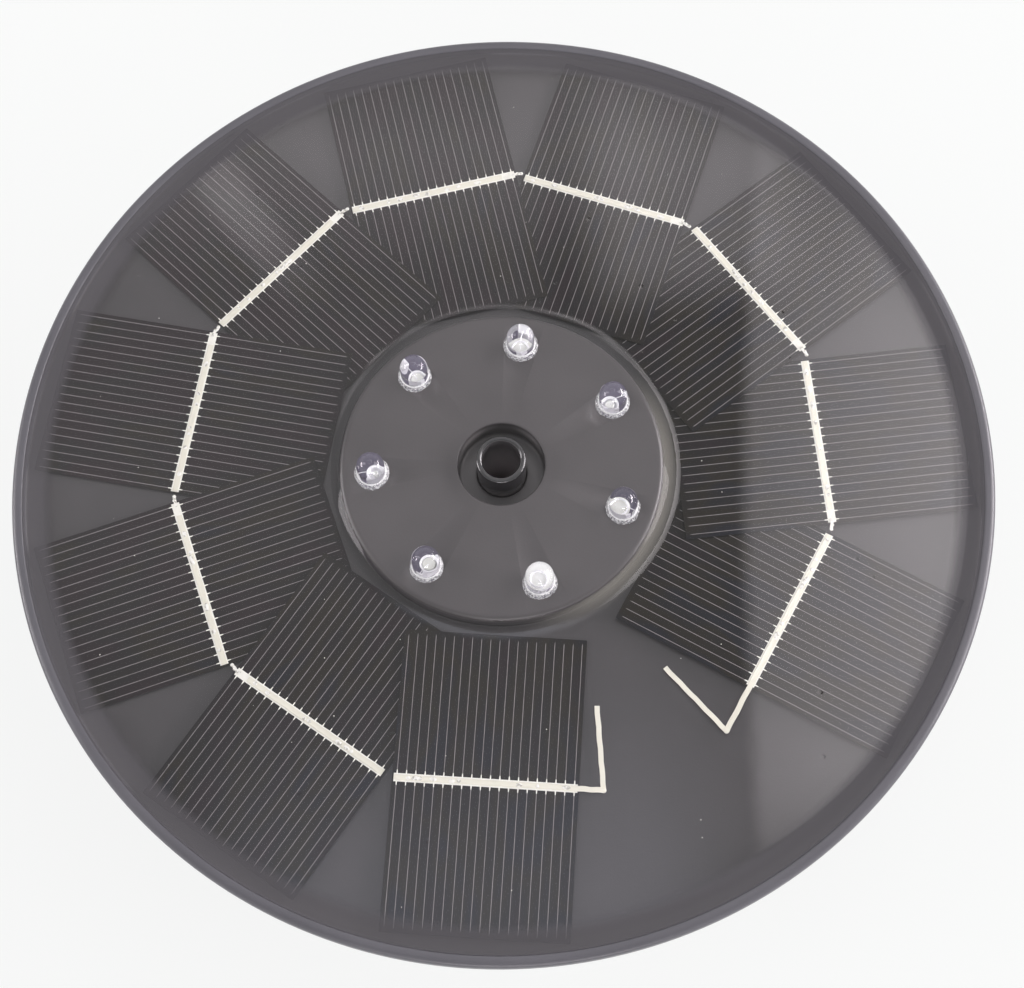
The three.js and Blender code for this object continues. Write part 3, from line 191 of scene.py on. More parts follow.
class Shader(Graph):
    """The node tree of a material, a lamp or the world."""

    def __init__(self, name: str, owner: Optional[bpy.types.ID] = None) -> None:
        """Args: name, a new material's; owner, a lamp or world to write in instead."""
        self.material = owner or bpy.data.materials.new(name)
        self.material.use_nodes = True
        self.material.node_tree.nodes.clear()
        super().__init__(self.material.node_tree)

    def place(self, attribute: str = "", stretch: Sequence[float] = (1, 1, 1)) -> Sock:
        """Args: attribute, a piece's own place attribute, or the object's coordinates where
        empty; stretch, a factor for each axis. Returns: the place in millimetres."""
        if attribute:
            found = self.node("ShaderNodeAttribute", {"attribute_name": attribute}, output="Vector")
        else:
            found = self.node("ShaderNodeTexCoord", output="Object")
        scale = tuple(value / MM for value in stretch)
        settings = {"operation": "MULTIPLY"}
        return self.node("ShaderNodeVectorMath", settings, {0: found, 1: scale})

    def parts(self, vector: Sock) -> tuple[Sock, Sock, Sock]:
        """Args: vector. Returns: its x, y and z."""
        split = self.node("ShaderNodeSeparateXYZ", None, {0: vector})
        outputs = split.socket.node.outputs
        return tuple(Sock(self, outputs[i]) for i in range(3))

    def cylinder(self) -> tuple[Sock, Sock, Sock, Sock]:
        """Returns: x, y and z in millimetres, and the distance from the Z axis."""
        x, y, z = self.parts(self.place())
        return x, y, z, (x * x + y * y) ** 0.5

    def noise(self, place: Sock, size: float, detail: float = 2, bend: float = 0) -> Sock:
        """Args: place, in mm; size, of a blotch in mm; detail, octaves; bend, distortion.
        Returns: soft noise about 0.5."""
        inputs = {"Vector": place, "Scale": 1 / size, "Detail": detail, "Distortion": bend}
        return self.node("ShaderNodeTexNoise", None, inputs, "Fac")

    def dots(self, place: Sock, size: float) -> Sock:
        """Args: place, in mm; size, between dots in mm. Returns: the distance from the nearest."""
        inputs = {"Vector": place, "Scale": 1 / size}
        return self.node("ShaderNodeTexVoronoi", None, inputs, "Distance")

    def fade(self, value: Value, low: float, high: float, start: float = 0, end: float = 1) -> Sock:
        """Args: value; low and high, where the change begins and ends; start and end, what it
        goes between. Returns: the changed value, smooth and clamped."""
        inputs = {"Value": value, "From Min": low, "From Max": high, "To Min": start, "To Max": end}
        return self.node("ShaderNodeMapRange", {"interpolation_type": "SMOOTHSTEP"}, inputs)

    def blend(self, factor: Value, first: Union[Sock, Colour], second: Union[Sock, Colour],
              way: str = "MIX") -> Sock:
        """Args: factor, 0 to 1; first and second colours; way, a Mix node's blend type.
        Returns: the mixed colour."""
        inputs = {0: factor, 6: opaque(first), 7: opaque(second)}
        return self.node("ShaderNodeMix", {"data_type": "RGBA", "blend_type": way}, inputs, 2)

    def bump(self, height: Sock, depth: float = 1) -> Sock:
        """Args: height; depth in mm of each unit of it. Returns: the normal."""
        inputs = {"Height": height, "Distance": depth * MM, "Strength": 1}
        return self.node("ShaderNodeBump", None, inputs)

    def principled(self, **values: Value) -> Sock:
        """Args: values, by socket name with underscores for spaces. Returns: the shader."""
        inputs = {name.replace("_", " "): value for name, value in values.items()}
        inputs["Base Color"] = opaque(inputs["Base Color"])
        return self.node("ShaderNodeBsdfPrincipled", None, inputs)

    def matt(self, colour: Union[Sock, Colour]) -> Sock:
        """Args: colour. Returns: a matt shader."""
        return self.node("ShaderNodeBsdfDiffuse", None, {"Color": opaque(colour)})

    def clear(self, colour: Colour = (1, 1, 1)) -> Sock:
        """Args: colour, of the light let through. Returns: a see-through shader."""
        return self.node("ShaderNodeBsdfTransparent", None, {"Color": opaque(colour)})

    def mixed(self, factor: Value, first: Sock, second: Sock) -> Sock:
        """Args: factor, 0 to 1; first and second shaders. Returns: the mixed shader."""
        return self.node("ShaderNodeMixShader", None, {0: factor, 1: first, 2: second})

    def ray(self, *kinds: str) -> Sock:
        """Args: kinds, of ray. Returns: 1 for a ray of any of those kinds."""
        outputs = self.node("ShaderNodeLightPath").socket.node.outputs
        return reduce(Sock.most, (Sock(self, outputs[f"Is {kind} Ray"]) for kind in kinds))

    def finish(self, surface: Sock, kind: str = "Material") -> bpy.types.Material:
        """Args: surface, the shader; kind, of output. Returns: the finished material."""
        output = self.tree.nodes.new(f"ShaderNodeOutput{kind}")
        self.feed(output.inputs["Surface"], surface)
        return self.material


class ShapeTree(Graph):
    """A Geometry Nodes tree with named sizes."""

    def __init__(self, name: str) -> None:
        """Args: name, the tree's."""
        super().__init__(bpy.data.node_groups.new(name, "GeometryNodeTree"))
        for way in ("INPUT", "OUTPUT"):
            self.tree.interface.new_socket("Geometry", in_out=way, socket_type="NodeSocketGeometry")
        self.entry = self.tree.nodes.new("NodeGroupInput")
        self.given = Sock(self, self.entry.outputs[0])
        self.values: dict[str, Value] = {}

    def size(self, name: str, value: Value) -> Sock:
        """Args: name, of a tree input; value, a number, count, object or material for it.
        Returns: the input as a socket."""
        kinds = {
            int: "NodeSocketInt",
            float: "NodeSocketFloat",
            Piece: "NodeSocketObject",
            bpy.types.Material: "NodeSocketMaterial",
        }
        socket = self.tree.interface.new_socket(name, in_out="INPUT", socket_type=kinds[type(value)])
        self.values[socket.identifier] = value
        return Sock(self, self.entry.outputs[name])

    def copies(self, points: Sock, model: Sock, material: Sock, **inputs: Value) -> Sock:
        """Args: points, where copies go; model, the object input to copy; material, its finish;
        inputs, more of the instancing node's. Returns: the copies as one real mesh."""
        shape = self.node("GeometryNodeObjectInfo", None, {"Object": model}, "Geometry")
        wanted = {"Points": points, "Instance": shape, **inputs}
        placed = self.node("GeometryNodeInstanceOnPoints", None, wanted)
        real = self.node("GeometryNodeRealizeInstances", None, {0: placed})
        return self.coat(real, material)

    def coat(self, geometry: Sock, material: Sock) -> Sock:
        """Args: geometry; material, its finish. Returns: it with that finish."""
        inputs = {"Geometry": geometry, "Material": material}
        return self.node("GeometryNodeSetMaterial", None, inputs)

    def cut(self, body: Sock, holes: Sock) -> Sock:
        """Args: body; holes, shapes to cut out. Returns: what is left."""
        settings = {"operation": "DIFFERENCE", "solver": "EXACT"}
        return self.node("GeometryNodeMeshBoolean", settings, {"Mesh 1": body, "Mesh 2": holes})

    def chance(self, low: Value, high: Value, seed: Value) -> Sock:
        """Args: low and high limits; seed. Returns: a random number between them."""
        inputs = {2: low, 3: high, "Seed": seed}
        return self.node("FunctionNodeRandomValue", {"data_type": "FLOAT"}, inputs, 1)

    def ring(self, model: Piece, count: int, radius: float, finish: Sock, first: float = 0,
             height: float = 0, **inputs: Value) -> Sock:
        """Args: model, the piece to copy; count; radius of the circle about Z in mm; finish of
        the copies; first, the first copy's angle in radians; height in mm; inputs, more of the
        instancing node's. Returns: the copies as one real mesh."""
        name = model.name
        sizes = {"Vertices": self.size(f"{name}: count", count),
                 "Radius": self.size(f"{name}: circle radius", radius * MM)}
        circle = self.node("GeometryNodeMeshCircle", None, sizes)
        place = {"Geometry": circle, "Rotation": (0, 0, first), "Translation": (0, 0, height * MM)}
        points = self.node("GeometryNodeTransform", None, place)
        return self.copies(points, self.size(name, model), finish, **inputs)

    def outward(self) -> Sock:
        """Returns: a rotation that turns a copy's +X away from the Z axis."""
        place = self.node("GeometryNodeInputPosition")
        settings = {"axis": "X", "pivot_axis": "Z"}
        return self.node("FunctionNodeAlignRotationToVector", settings, {"Vector": place})

    def grow(self, carrier: Piece, result: Sock) -> Piece:
        """Runs the tree on an object and keeps the outcome as that object's plain mesh.

        Args:
            carrier: the object that the tree starts from.
            result: the tree's last geometry.

        Returns:
            The same object with its new mesh.
        """
        leave = self.tree.nodes.new("NodeGroupOutput")
        self.feed(leave.inputs[0], result)
        modifier = carrier.modifiers.new(self.tree.name, "NODES")
        modifier.node_group = self.tree
        for identifier, value in self.values.items():
            modifier[identifier] = value
        carrier.update_tag()
        return settle(carrier)


# ---------- shapes
class Shape:
    """Points and faces in millimetres, with a finish number for each face."""

    def __init__(self) -> None:
        """Starts empty."""
        self.points: list[Vector] = []
        self.faces: list[tuple[int, ...]] = []
        self.finishes: list[int] = []

    def point(self, x: float, y: float, z: float) -> int:
        """Args: x, y and z. Returns: the new point's number."""
        self.points.append(Vector((x, y, z)))
        return len(self.points) - 1

    def face(self, corners: Sequence[int], finish: int = 0) -> None:
        """Args: corners, point numbers, where repeats are dropped; finish, its number."""
        kept = [c for i, c in enumerate(corners) if c != corners[i - 1]]
        if len(set(kept)) > 2:
            self.faces.append(tuple(kept))
            self.finishes.append(finish)

    def skin(self, rings: list[list[int]], closed: bool) -> None:
        """Args: rings, lists of point numbers of equal length; closed, whether the last ring
        joins the first. Lays faces between neighbouring rings."""
        following = rings[1:] + (rings[:1] if closed else [])
        for ring, after in zip(rings, following):
            for k, corner in enumerate(ring):
                n = (k + 1) % len(ring)
                self.face([corner, ring[n], after[n], after[k]])

    def add(self, *others: "Shape", finish: Optional[int] = None) -> "Shape":
        """Args: others, shapes to take in; finish, the number they get, or their own.
        Returns: this shape."""
        for other in others:
            start = len(self.points)
            self.points += [p.copy() for p in other.points]
            self.faces += [tuple(start + c for c in f) for f in other.faces]
            self.finishes += other.finishes if finish is None else [finish] * len(other.faces)
        return self

    def moved(self, matrix: Matrix) -> "Shape":
        """Args: matrix, in millimetres. Returns: a copy that it has moved."""
        copy = Shape().add(self)
        copy.points = [matrix @ p for p in copy.points]
        return copy

    def at(self, x: float = 0, y: float = 0, z: float = 0, turn: float = 0) -> "Shape":
        """Args: x, y and z, where it goes; turn, degrees about Z first. Returns: a moved copy."""
        spin = Matrix.Rotation(math.radians(turn), 4, "Z")
        return self.moved(Matrix.Translation((x, y, z)) @ spin)

    def object(self, name: str, *materials: bpy.types.Material) -> Piece:
        """Args: name; materials, by finish number. Returns: the shape as an object in metres."""
        mesh = bpy.data.meshes.new(name)
        mesh.from_pydata([p * MM for p in self.points], [], self.faces)
        for material in materials:
            mesh.materials.append(material)
        mesh.polygons.foreach_set("material_index", self.finishes)
        work = bmesh.new()
        work.from_mesh(mesh)
        bmesh.ops.recalc_face_normals(work, faces=work.faces)
        work.to_mesh(mesh)
        work.free()
        made = bpy.data.objects.new(name, mesh)
        bpy.context.scene.collection.objects.link(made)
        return smooth(made)


def smooth(piece: Piece, angle: float = 32) -> Piece:
    """Args: piece; angle in degrees past which an edge stays crisp. Returns: the piece."""
    piece.data.shade_smooth()
    piece.data.set_sharp_from_angle(angle=math.radians(angle))
    return piece


def settle(piece: Piece) -> Piece:
    """Args: piece, with modifiers. Returns: it, with their outcome as its plain mesh."""
    bpy.context.view_layer.update()
    graph = bpy.context.evaluated_depsgraph_get()
    evaluated = piece.evaluated_get(graph)
    mesh = bpy.data.meshes.new_from_object(evaluated, preserve_all_data_layers=True, depsgraph=graph)
    piece.modifiers.clear()
    mesh.name = piece.name
    piece.data = mesh
    return smooth(piece)


def discard(*pieces: Piece) -> None:
    """Args: pieces, helpers that are no longer needed."""
    for piece in pieces:
        bpy.data.objects.remove(piece)


def twice_area(outline: Outline) -> float:
    """Args: outline. Returns: twice its area, below zero where it runs clockwise."""
    pairs = zip(outline, outline[1:] + outline[:1])
    return sum(a[0] * b[1] - b[0] * a[1] for a, b in pairs)


def rounded(outline: Sequence[tuple], radius: float = 0.3, steps: int = 4,
            hold: float = 0.3) -> Outline:
    """Rounds the corners of a closed outline.

    Args:
        outline: corners (a, b), or (a, b, r) with a corner's own radius, which may be 0.
        radius: for corners without their own.
        steps: facets to a corner.
        hold: extra point this far before and after a corner, which keeps the flats flat.

    Returns:
        The outline with its corners rounded.
    """
    result: Outline = []
    count = len(outline)
    straight, room_share = math.radians(176), 0.48
    for i, corner in enumerate(outline):
        here = Vector(corner[:2])
        before = Vector(outline[i - 1][:2]) - here
        after = Vector(outline[(i + 1) % count][:2]) - here
        wanted = corner[2] if len(corner) > 2 else radius
        angle = before.angle(after, math.pi)
        if wanted <= 0 or angle > straight:
            result.append(tuple(here))
            continue
        room = room_share * min(before.length, after.length)
        reach = min(wanted / math.tan(angle / 2), room)
        r = reach * math.tan(angle / 2)
        into, out = before.normalized(), after.normalized()
        centre = here + (into + out).normalized() * (r / math.sin(angle / 2))
        if reach + hold < room:
            result.append(tuple(here + into * (reach + hold)))
        first = here + into * reach - centre
        last = here + out * reach - centre
        turn = first.angle_signed(last)
        for k in range(steps + 1):
            spin = Matrix.Rotation(-turn * k / steps, 2)
            result.append(tuple(centre + spin @ first))
        if reach + hold < room:
            result.append(tuple(here + out * (reach + hold)))
    return result


def lathe(outline: Outline, segments: int = 96) -> Shape:
    """Args: outline, closed (radius, height) corners; segments, round the circle.
    Returns: it spun about the Z axis."""
    if twice_area(outline) < 0:
        outline = outline[::-1]
    on_axis = 1e-6
    shape = Shape()
    rings = []
    for radius, height in outline:
        if radius < on_axis:
            rings.append([shape.point(0, 0, height)] * segments)
            continue
        turns = [2 * math.pi * k / segments for k in range(segments)]
        rings.append([shape.point(radius * math.cos(t), radius * math.sin(t), height) for t in turns])
    shape.skin(rings, closed=True)
    return shape


def rod(radius: float, bottom: float, top: float, segments: int = 32, edge: float = 0) -> Shape:
    """Args: radius; bottom and top heights; segments; edge, rounding of its two rims.
    Returns: an upright rod."""
    corners = [(0, bottom, 0), (radius, bottom, edge), (radius, top, edge), (0, top, 0)]
    return lathe(rounded(corners, steps=3), segments)


def rectangle(width: float, depth: float, radius: float, steps: int = 4) -> Outline:
    """Args: width and depth; radius of its corners; steps to a corner. Returns: the outline."""
    x, y = width / 2, depth / 2
    return rounded([(-x, -y), (x, -y), (x, y), (-x, y)], radius, steps, hold=math.inf)


def prism(outline: Outline, bottom: float, top: float, edge: float = 0, steps: int = 2) -> Shape:
    """Args: outline in the XY plane; bottom and top heights; edge, rounding of its two rims;
    steps to that rounding. Returns: the outline given a thickness."""
    if twice_area(outline) < 0:
        outline = outline[::-1]
    count = len(outline)
    corners = [Vector(p) for p in outline]
    pulls = []
    sharpest = 0.3
    for i, corner in enumerate(corners):
        into = (corner - corners[i - 1]).normalized()
        out = (corners[(i + 1) % count] - corner).normalized()
        normal = Vector((-(into.y + out.y), into.x + out.x)).normalized()
        pulls.append(normal / max(sharpest, abs(normal.dot(Vector((-into.y, into.x))))))
    arcs = [math.pi / 2 * k / steps for k in range(steps + 1)] if edge else [math.pi / 2]
    levels = [(edge * (1 - math.sin(t)), bottom + edge * (1 - math.cos(t))) for t in arcs]
    levels += [(inset, bottom + top - height) for inset, height in reversed(levels)]
    shape = Shape()
    rings = []
    for inset, height in levels:
        inner = [corner + pull * inset for corner, pull in zip(corners, pulls)]
        rings.append([shape.point(p.x, p.y, height) for p in inner])
    shape.skin(rings, closed=False)
    shape.face(rings[0][::-1])
    shape.face(rings[-1])
    return shape


def sweep(path: Sequence[Vector], section: Outline, up: Optional[Vector] = None) -> Shape:
    """Args: path, points; section, an outline across it; up, the way the section's second
    axis points, or none where it may turn freely. Returns: the section drawn along the path."""
    shape = Shape()
    rings = []
    near_upright = Vector((0.13, 0.21, 0.97))
    lift = up or near_upright
    for i, place in enumerate(path):
        ahead = path[min(i + 1, len(path) - 1)] - path[max(i - 1, 0)]
        along = ahead.normalized()
        side = along.cross(lift).normalized()
        above = side.cross(along)
        if up is None:
            lift = above
        rings.append([shape.point(*(place + side * a + above * b)) for a, b in section])
    shape.skin(rings, closed=False)
    shape.face(rings[0])
    shape.face(rings[-1])
    return shape


def round_section(radius: float, sides: int) -> Outline:
    """Args: radius; sides. Returns: a circle as an outline."""
    turns = [2 * math.pi * k / sides for k in range(sides)]
    return [(radius * math.cos(t), radius * math.sin(t)) for t in turns]


def flowing(points: Sequence[Vector], steps: int) -> list[Vector]:
    """Args: points, to pass through; steps between each two. Returns: a smooth path."""
    ends = [points[0] * 2 - points[1], *points, points[-1] * 2 - points[-2]]
    path = []
    for a, b, c, d in zip(ends, ends[1:], ends[2:], ends[3:]):
        for k in range(steps):
            t = k / steps
            path.append(0.5 * (
                2 * b + (c - a) * t + (2 * a - 5 * b + 4 * c - d) * t * t
                + (3 * b - a - 3 * c + d) * t ** 3
            ))
    return [*path, points[-1]]


def spread(count: int, shape: Shape, x: float) -> list[Shape]:
    """Args: count; shape; x, its place before it is turned. Returns: copies turned evenly about
    the Z axis."""
    return [shape.at(x).at(turn=360 * k / count) for k in range(count)]


def carved(name: str, added: Sequence[Shape], removed: Sequence[Shape]) -> Piece:
    """Args: name; added, shapes to join; removed, shapes to cut out. Returns: the piece."""
    body = added[0].object(name)
    helpers = []
    for operation, shapes in (("UNION", added[1:]), ("DIFFERENCE", removed)):
        for i, shape in enumerate(shapes):
            helper = shape.object(f"{name}_{operation.lower()}_{i}")
            modifier = body.modifiers.new(helper.name, "BOOLEAN")
            modifier.operation = operation
            modifier.solver = "EXACT"
            modifier.object = helper
            helpers.append(helper)
    settle(body)
    discard(*helpers)
    return body


def corners(node: str) -> tuple[Vector, Vector]:
    """Args: node, a CAD node's name. Returns: its lowest and highest corners in mm."""
    low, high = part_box(node)
    return low / MM, high / MM


def publish(piece: Piece, body: Body, slot: str, *stands_for: str) -> None:
    """Args: piece; body, that it rides on; slot, not used; stands_for, the CAD nodes that
    it is shown instead of."""
    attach(piece, body.value)
    if stands_for:
        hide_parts(*stands_for)
    LOG.info("%s: %d faces, rides on %s", piece.name, len(piece.data.polygons), body.value)


def dress(piece: Piece, *materials: bpy.types.Material) -> Piece:
    """Args: piece; materials, for its slots in order. Returns: the piece."""
    piece.data.materials.clear()
    for material in materials:
        piece.data.materials.append(material)
    return piece


# ---------- finishes
@dataclass(frozen=True)
class Finish:
    """A finish, whose material is made once and shared."""

    name: str

    def surface(self, s: Shader) -> Sock:
        """Args: s, to write in. Returns: the surface's shader."""
        raise NotImplementedError

    def material(self) -> bpy.types.Material:
        """Returns: the finish as a material."""
        known = bpy.data.materials.get(self.name)
        if known:
            return known
        s = Shader(self.name)
        return s.finish(self.surface(s))


def shade(colour: Colour, factor: float) -> Colour:
    """Args: colour; factor. Returns: the colour made darker or lighter."""
    return tuple(min(1.0, c * factor) for c in colour)


@dataclass(frozen=True)
class MouldedPlastic(Finish):
    """Moulded plastic with a fine grain, faint clouds and handling marks."""

    colour: Colour = (0.05, 0.05, 0.05)
    roughness: float = 0.4
    clouds: float = 0.12
    grain: float = 0.35
    depth: float = 0.012
    specular: float = 0.5

    def surface(self, s: Shader) -> Sock:
        """Args: s, to write in. Returns: the surface's shader."""
        place = s.place()
        cloud = s.noise(place, 16, 4)
        fine = s.noise(place, self.grain, 2)
        streak = s.fade(s.noise(s.place(stretch=(1, 0.08, 1)), 0.5, 3, 0.6), 0.66, 0.74)
        low = shade(self.colour, 1 - self.clouds)
        high = shade(self.colour, 1 + self.clouds)
        speckled = 0.8 * cloud + 0.2 * fine
        return s.principled(
            Base_Color=self.toned(s, s.blend(s.fade(speckled, 0.25, 0.75), low, high)),
            Roughness=self.roughness + 0.16 * (cloud - 0.5) + 0.1 * streak,
            Specular_IOR_Level=self.specular,
            Normal=s.bump(fine + 0.25 * streak, self.depth),
        )

    def toned(self, s: Shader, colour: Sock) -> Sock:
        """Args: s, to write in; colour, the plastic's. Returns: it as places change it."""
        return colour


@dataclass(frozen=True)
class TrayPlastic(MouldedPlastic):
    """The tray's plastic: darker where resin wets it, less so near the rim wall as painted light against
    its shade; paler and bluer on the rim; painted light in the recess, a paler grey against its shade.
    """

    wet: Colour = (0.49, 0.47, 0.5)
    rim_tone: Colour = (1.29, 1.35, 1.48)
    # Pale grey painted into the recess: painted light against the recess's shade.
    dust: Colour = (0.19, 0.182, 0.184)
    pan: Pair = (28.7, 85.6)
    # From this radius out to the pan's edge the wet darkening fades out: painted light where the rim wall
    # shades the pan.
    rim_painted_light_r: float = 81
    resin: Pair = (45.2, 47.4)
    recess_r: float = 7.75
    # Heights over which that painted light in the recess fades out.
    painted_light_heights: Pair = (47.4, 48.6)

    def toned(self, s: Shader, colour: Sock) -> Sock:
        """Args: s, to write in; colour, the plastic's. Returns: it as places change it."""
        _, _, z, radius = s.cylinder()
        under = s.fade(z, self.resin[1], self.resin[1] + 0.2, 1, 0) * z.over(self.resin[0])
        # The wet darkening fades out towards the rim wall: painted light against that wall's shade.
        soaked = under * radius.over(self.pan[0]) * s.fade(radius, self.rim_painted_light_r, self.pan[1], 1, 0)
        rim = radius.over(self.pan[1] - 0.3) * z.over(self.resin[0])
        # The recess is blended to a paler grey: painted light against its shade.
        hollow = (1 - radius.over(self.recess_r)) * s.fade(z, *self.painted_light_heights, 1, 0)
        for share, tint in ((soaked, self.wet), (rim, self.rim_tone)):
            colour = s.blend(share, colour, tint, "MULTIPLY")
        return s.blend(hollow, colour, self.dust)


@dataclass(frozen=True)
class PumpPlastic(MouldedPlastic):
    """The pump's glossy plastic, with a pale colour painted inside its tube, more of it further down, and
    round the tube's foot: painted light where they lie in shade.
    """

    # Pale colour painted inside the tube and round its foot: painted light where they lie in shade.
    bore_painted_light: Colour = (0.66, 0.62, 0.63)
    bore_r: float = 3.6
    outside: float = 0.4
    lowest: float = 24
    inner: Pair = (38, 51)
    outer: Pair = (44, 48)

    def toned(self, s: Shader, colour: Sock) -> Sock:
        """Args: s, to write in; colour, the plastic's. Returns: it as places change it."""
        _, _, z, radius = s.cylinder()
        # Inside the bore and round the tube's foot the colour is painted paler: painted light in their
        # shade.
        inside = (1 - radius.over(self.bore_r)) * s.fade(z, *self.inner, 1, 0.06)
        outside = s.fade(z, *self.outer, self.outside, 0)
        share = inside.most(outside) * z.over(self.lowest)
        return s.blend(share, colour, self.bore_painted_light)


@dataclass(frozen=True)
class ClearCast(Finish):
    """Clear resin or glass that lets the lamps reach what lies in it."""

    tint: Colour = (1, 1, 1)
    ior: float = 1.48
    roughness: float = 0.0
    waves: float = 0.0
    dimples: float = 0.0

    def surface(self, s: Shader) -> Sock:
        """Args: s, to write in. Returns: the surface's shader."""
        place = s.place()
        wave = s.noise(place, 9, 2)
        spot = s.dots(place, 7)
        pit = s.fade(spot, 0.02, 0.08, 1, 0)
        glass = s.principled(
            Base_Color=self.tint,
            Roughness=self.roughness,
            IOR=self.ior,
            Transmission_Weight=1.0,
            Normal=s.bump(wave * self.waves - pit * self.dimples),
        )
        return s.mixed(s.ray(*LIGHTING), glass, s.clear(self.tint))


@dataclass(frozen=True)
class PouredResin(ClearCast):
    """Cast resin, with a yellowish matt painted sheen where it climbs the hub on the side that faces the
    given direction, and a matt grey band painted along the rim over the shade at the cells' outer ends.
    """

    # Yellowish matt colour mixed into the hub climb on one side: a painted sheen where that side catches
    # the light.
    painted_sheen: Colour = (0.36, 0.345, 0.31)
    climb: Pair = (29.1, 32.4)
    facing: Pair = (0.9, -0.42)
    strength: float = 0.5
    # Matt grey band painted along the rim, over the shade at the cells' outer ends.
    painted_rim_band: Colour = (0.136, 0.13, 0.141)
    painted_rim_share: float = 0.6
    rim: Pair = (80, 82.4)

    def surface(self, s: Shader) -> Sock:
        """Args: s, to write in. Returns: the surface's shader."""
        x, y, _, radius = s.cylinder()
        side = (x * self.facing[0] + y * self.facing[1]) / radius
        # On the climb's side towards facing, a matt colour is mixed in: painted sheen.
        share = s.fade(radius, *self.climb, 1, 0) * s.fade(side, 0.45, 0.95, 0, self.strength)
        sheened = s.mixed(share, super().surface(s), s.matt(self.painted_sheen))
        # Along the rim a matt grey is mixed in: painted over the shade at the cells' outer ends.
        return s.mixed(s.fade(radius, *self.rim, 0, self.painted_rim_share), sheened, s.matt(self.painted_rim_band))


@dataclass(frozen=True)
class SolarSilicon(Finish):
    """A dark coated wafer, faintly streaked along its fingers and tinted like oil on water."""

    colour: Colour = (0.0078, 0.0068, 0.0075)
    roughness: float = 0.42

    def surface(self, s: Shader) -> Sock:
        """Args: s, to write in. Returns: the surface's shader."""
        streak = s.noise(s.place("laid", (1, 0.05, 1)), 0.45, 3)
        cloud = s.noise(s.place("laid"), 11, 3)
        x, y, _ = s.parts(s.place())
        hue = s.noise(s.place("laid", (1, 0.4, 1)), 6, 1) + (x * 0.8 - y * 0.6) * 0.0018
        tint = s.node("ShaderNodeValToRGB", {"stops": [
            (0.32, (0.0125, 0.0062, 0.0085)),
            (0.45, self.colour),
            (0.57, (0.0125, 0.0092, 0.0042)),
            (0.7, (0.0058, 0.0068, 0.0125)),
        ]}, {"Fac": hue})
        colour = s.blend(0.25 * streak + 0.15 * cloud, tint, shade(self.colour, 2.2))
        return s.principled(
            Base_Color=colour,
            Roughness=self.roughness + 0.15 * (cloud - 0.5),
            Specular_IOR_Level=0.12,
            Normal=s.bump(streak, 0.0015),
        )


@dataclass(frozen=True)
class Metal(Finish):
    """Bare, tinned or painted metal with blotches and fine scratches."""

    colour: Colour = (0.7, 0.7, 0.7)
    stain: Colour = (0.45, 0.42, 0.36)
    metallic: float = 0.9
    roughness: float = 0.3
    blotch: float = 1.2
    stained: float = 0.6
    depth: float = 0.01

    def surface(self, s: Shader) -> Sock:
        """Args: s, to write in. Returns: the surface's shader."""
        place = s.place()
        patch = s.fade(s.noise(place, self.blotch, 4, 0.4), self.stained - 0.08, self.stained + 0.1)
        fine = s.noise(place, self.blotch / 6, 3)
        colour = s.blend(patch, self.colour, self.stain)
        return s.principled(
            Base_Color=s.blend(0.35 * fine, colour, shade(self.colour, 0.8)),
            Metallic=self.metallic,
            Roughness=self.roughness + 0.25 * patch + 0.1 * (fine - 0.5),
            Normal=s.bump(0.6 * fine + 0.4 * patch, self.depth),
        )


@dataclass(frozen=True)
class Laminated(Finish):
    """Stacked sheet steel, seen as fine lines across the rotor's axis."""

    sheet: float = 0.5

    def surface(self, s: Shader) -> Sock:
        """Args: s, to write in. Returns: the surface's shader."""
        place = s.place()
        _, along, _ = s.parts(place)
        line = s.fade((along * (2 * math.pi / self.sheet)).wave(), 0.55, 0.9)
        cloud = s.noise(place, 2.5, 4)
        colour = s.blend(line, (0.34, 0.35, 0.37), (0.07, 0.065, 0.06))
        return s.principled(
            Base_Color=s.blend(s.fade(cloud, 0.58, 0.75), colour, (0.23, 0.13, 0.07)),
            Metallic=0.85,
            Roughness=0.35 + 0.3 * line,
            Normal=s.bump(1 - line, 0.05),
        )


@dataclass(frozen=True)
class WireCoil(Finish):
    """Varnished copper wire wound tight, seen as fine ridges."""

    wire: float = 0.28

    def surface(self, s: Shader) -> Sock:
        """Args: s, to write in. Returns: the surface's shader."""
        place = s.place()
        across, along, height = s.parts(place)
        ridge = ((across + along * 0.3 + height) * (2 * math.pi / self.wire)).wave() * 0.5 + 0.5
        cloud = s.noise(place, 1.8, 3)
        colour = s.blend(ridge, (0.16, 0.045, 0.02), (0.62, 0.24, 0.1))
        return s.principled(
            Base_Color=s.blend(s.fade(cloud, 0.5, 0.8), colour, (0.3, 0.11, 0.05)),
            Metallic=0.8,
            Roughness=0.28 + 0.2 * cloud,
            Coat_Weight=0.4,
            Normal=s.bump(ridge, 0.08),
        )


@dataclass(frozen=True)
class CircuitBoard(Finish):
    """A solder mask over copper tracks, with tinned pads."""

    mask: Colour = (0.012, 0.09, 0.035)

    def surface(self, s: Shader) -> Sock:
        """Args: s, to write in. Returns: the surface's shader."""
        place = s.place()
        square = {"distance": "CHEBYCHEV"}
        inputs = {"Vector": place, "Scale": 0.35, "Randomness": 0.8}
        patch = s.node("ShaderNodeTexVoronoi", square, inputs, "Distance")
        track = s.fade((patch * 22).wave(), 0.1, 0.5)
        pad = s.fade(s.dots(place, 3.4), 0.12, 0.15, 1, 0)
        fine = s.noise(place, 0.3, 2)
        green = s.blend(track, shade(self.mask, 0.7), shade(self.mask, 1.5))
        return s.principled(
            Base_Color=s.blend(pad, green, (0.62, 0.6, 0.55)),
            Metallic=0.9 * pad,
            Roughness=0.3 + 0.1 * fine,
            Normal=s.bump(0.6 * track + 0.5 * pad, 0.04),
        )


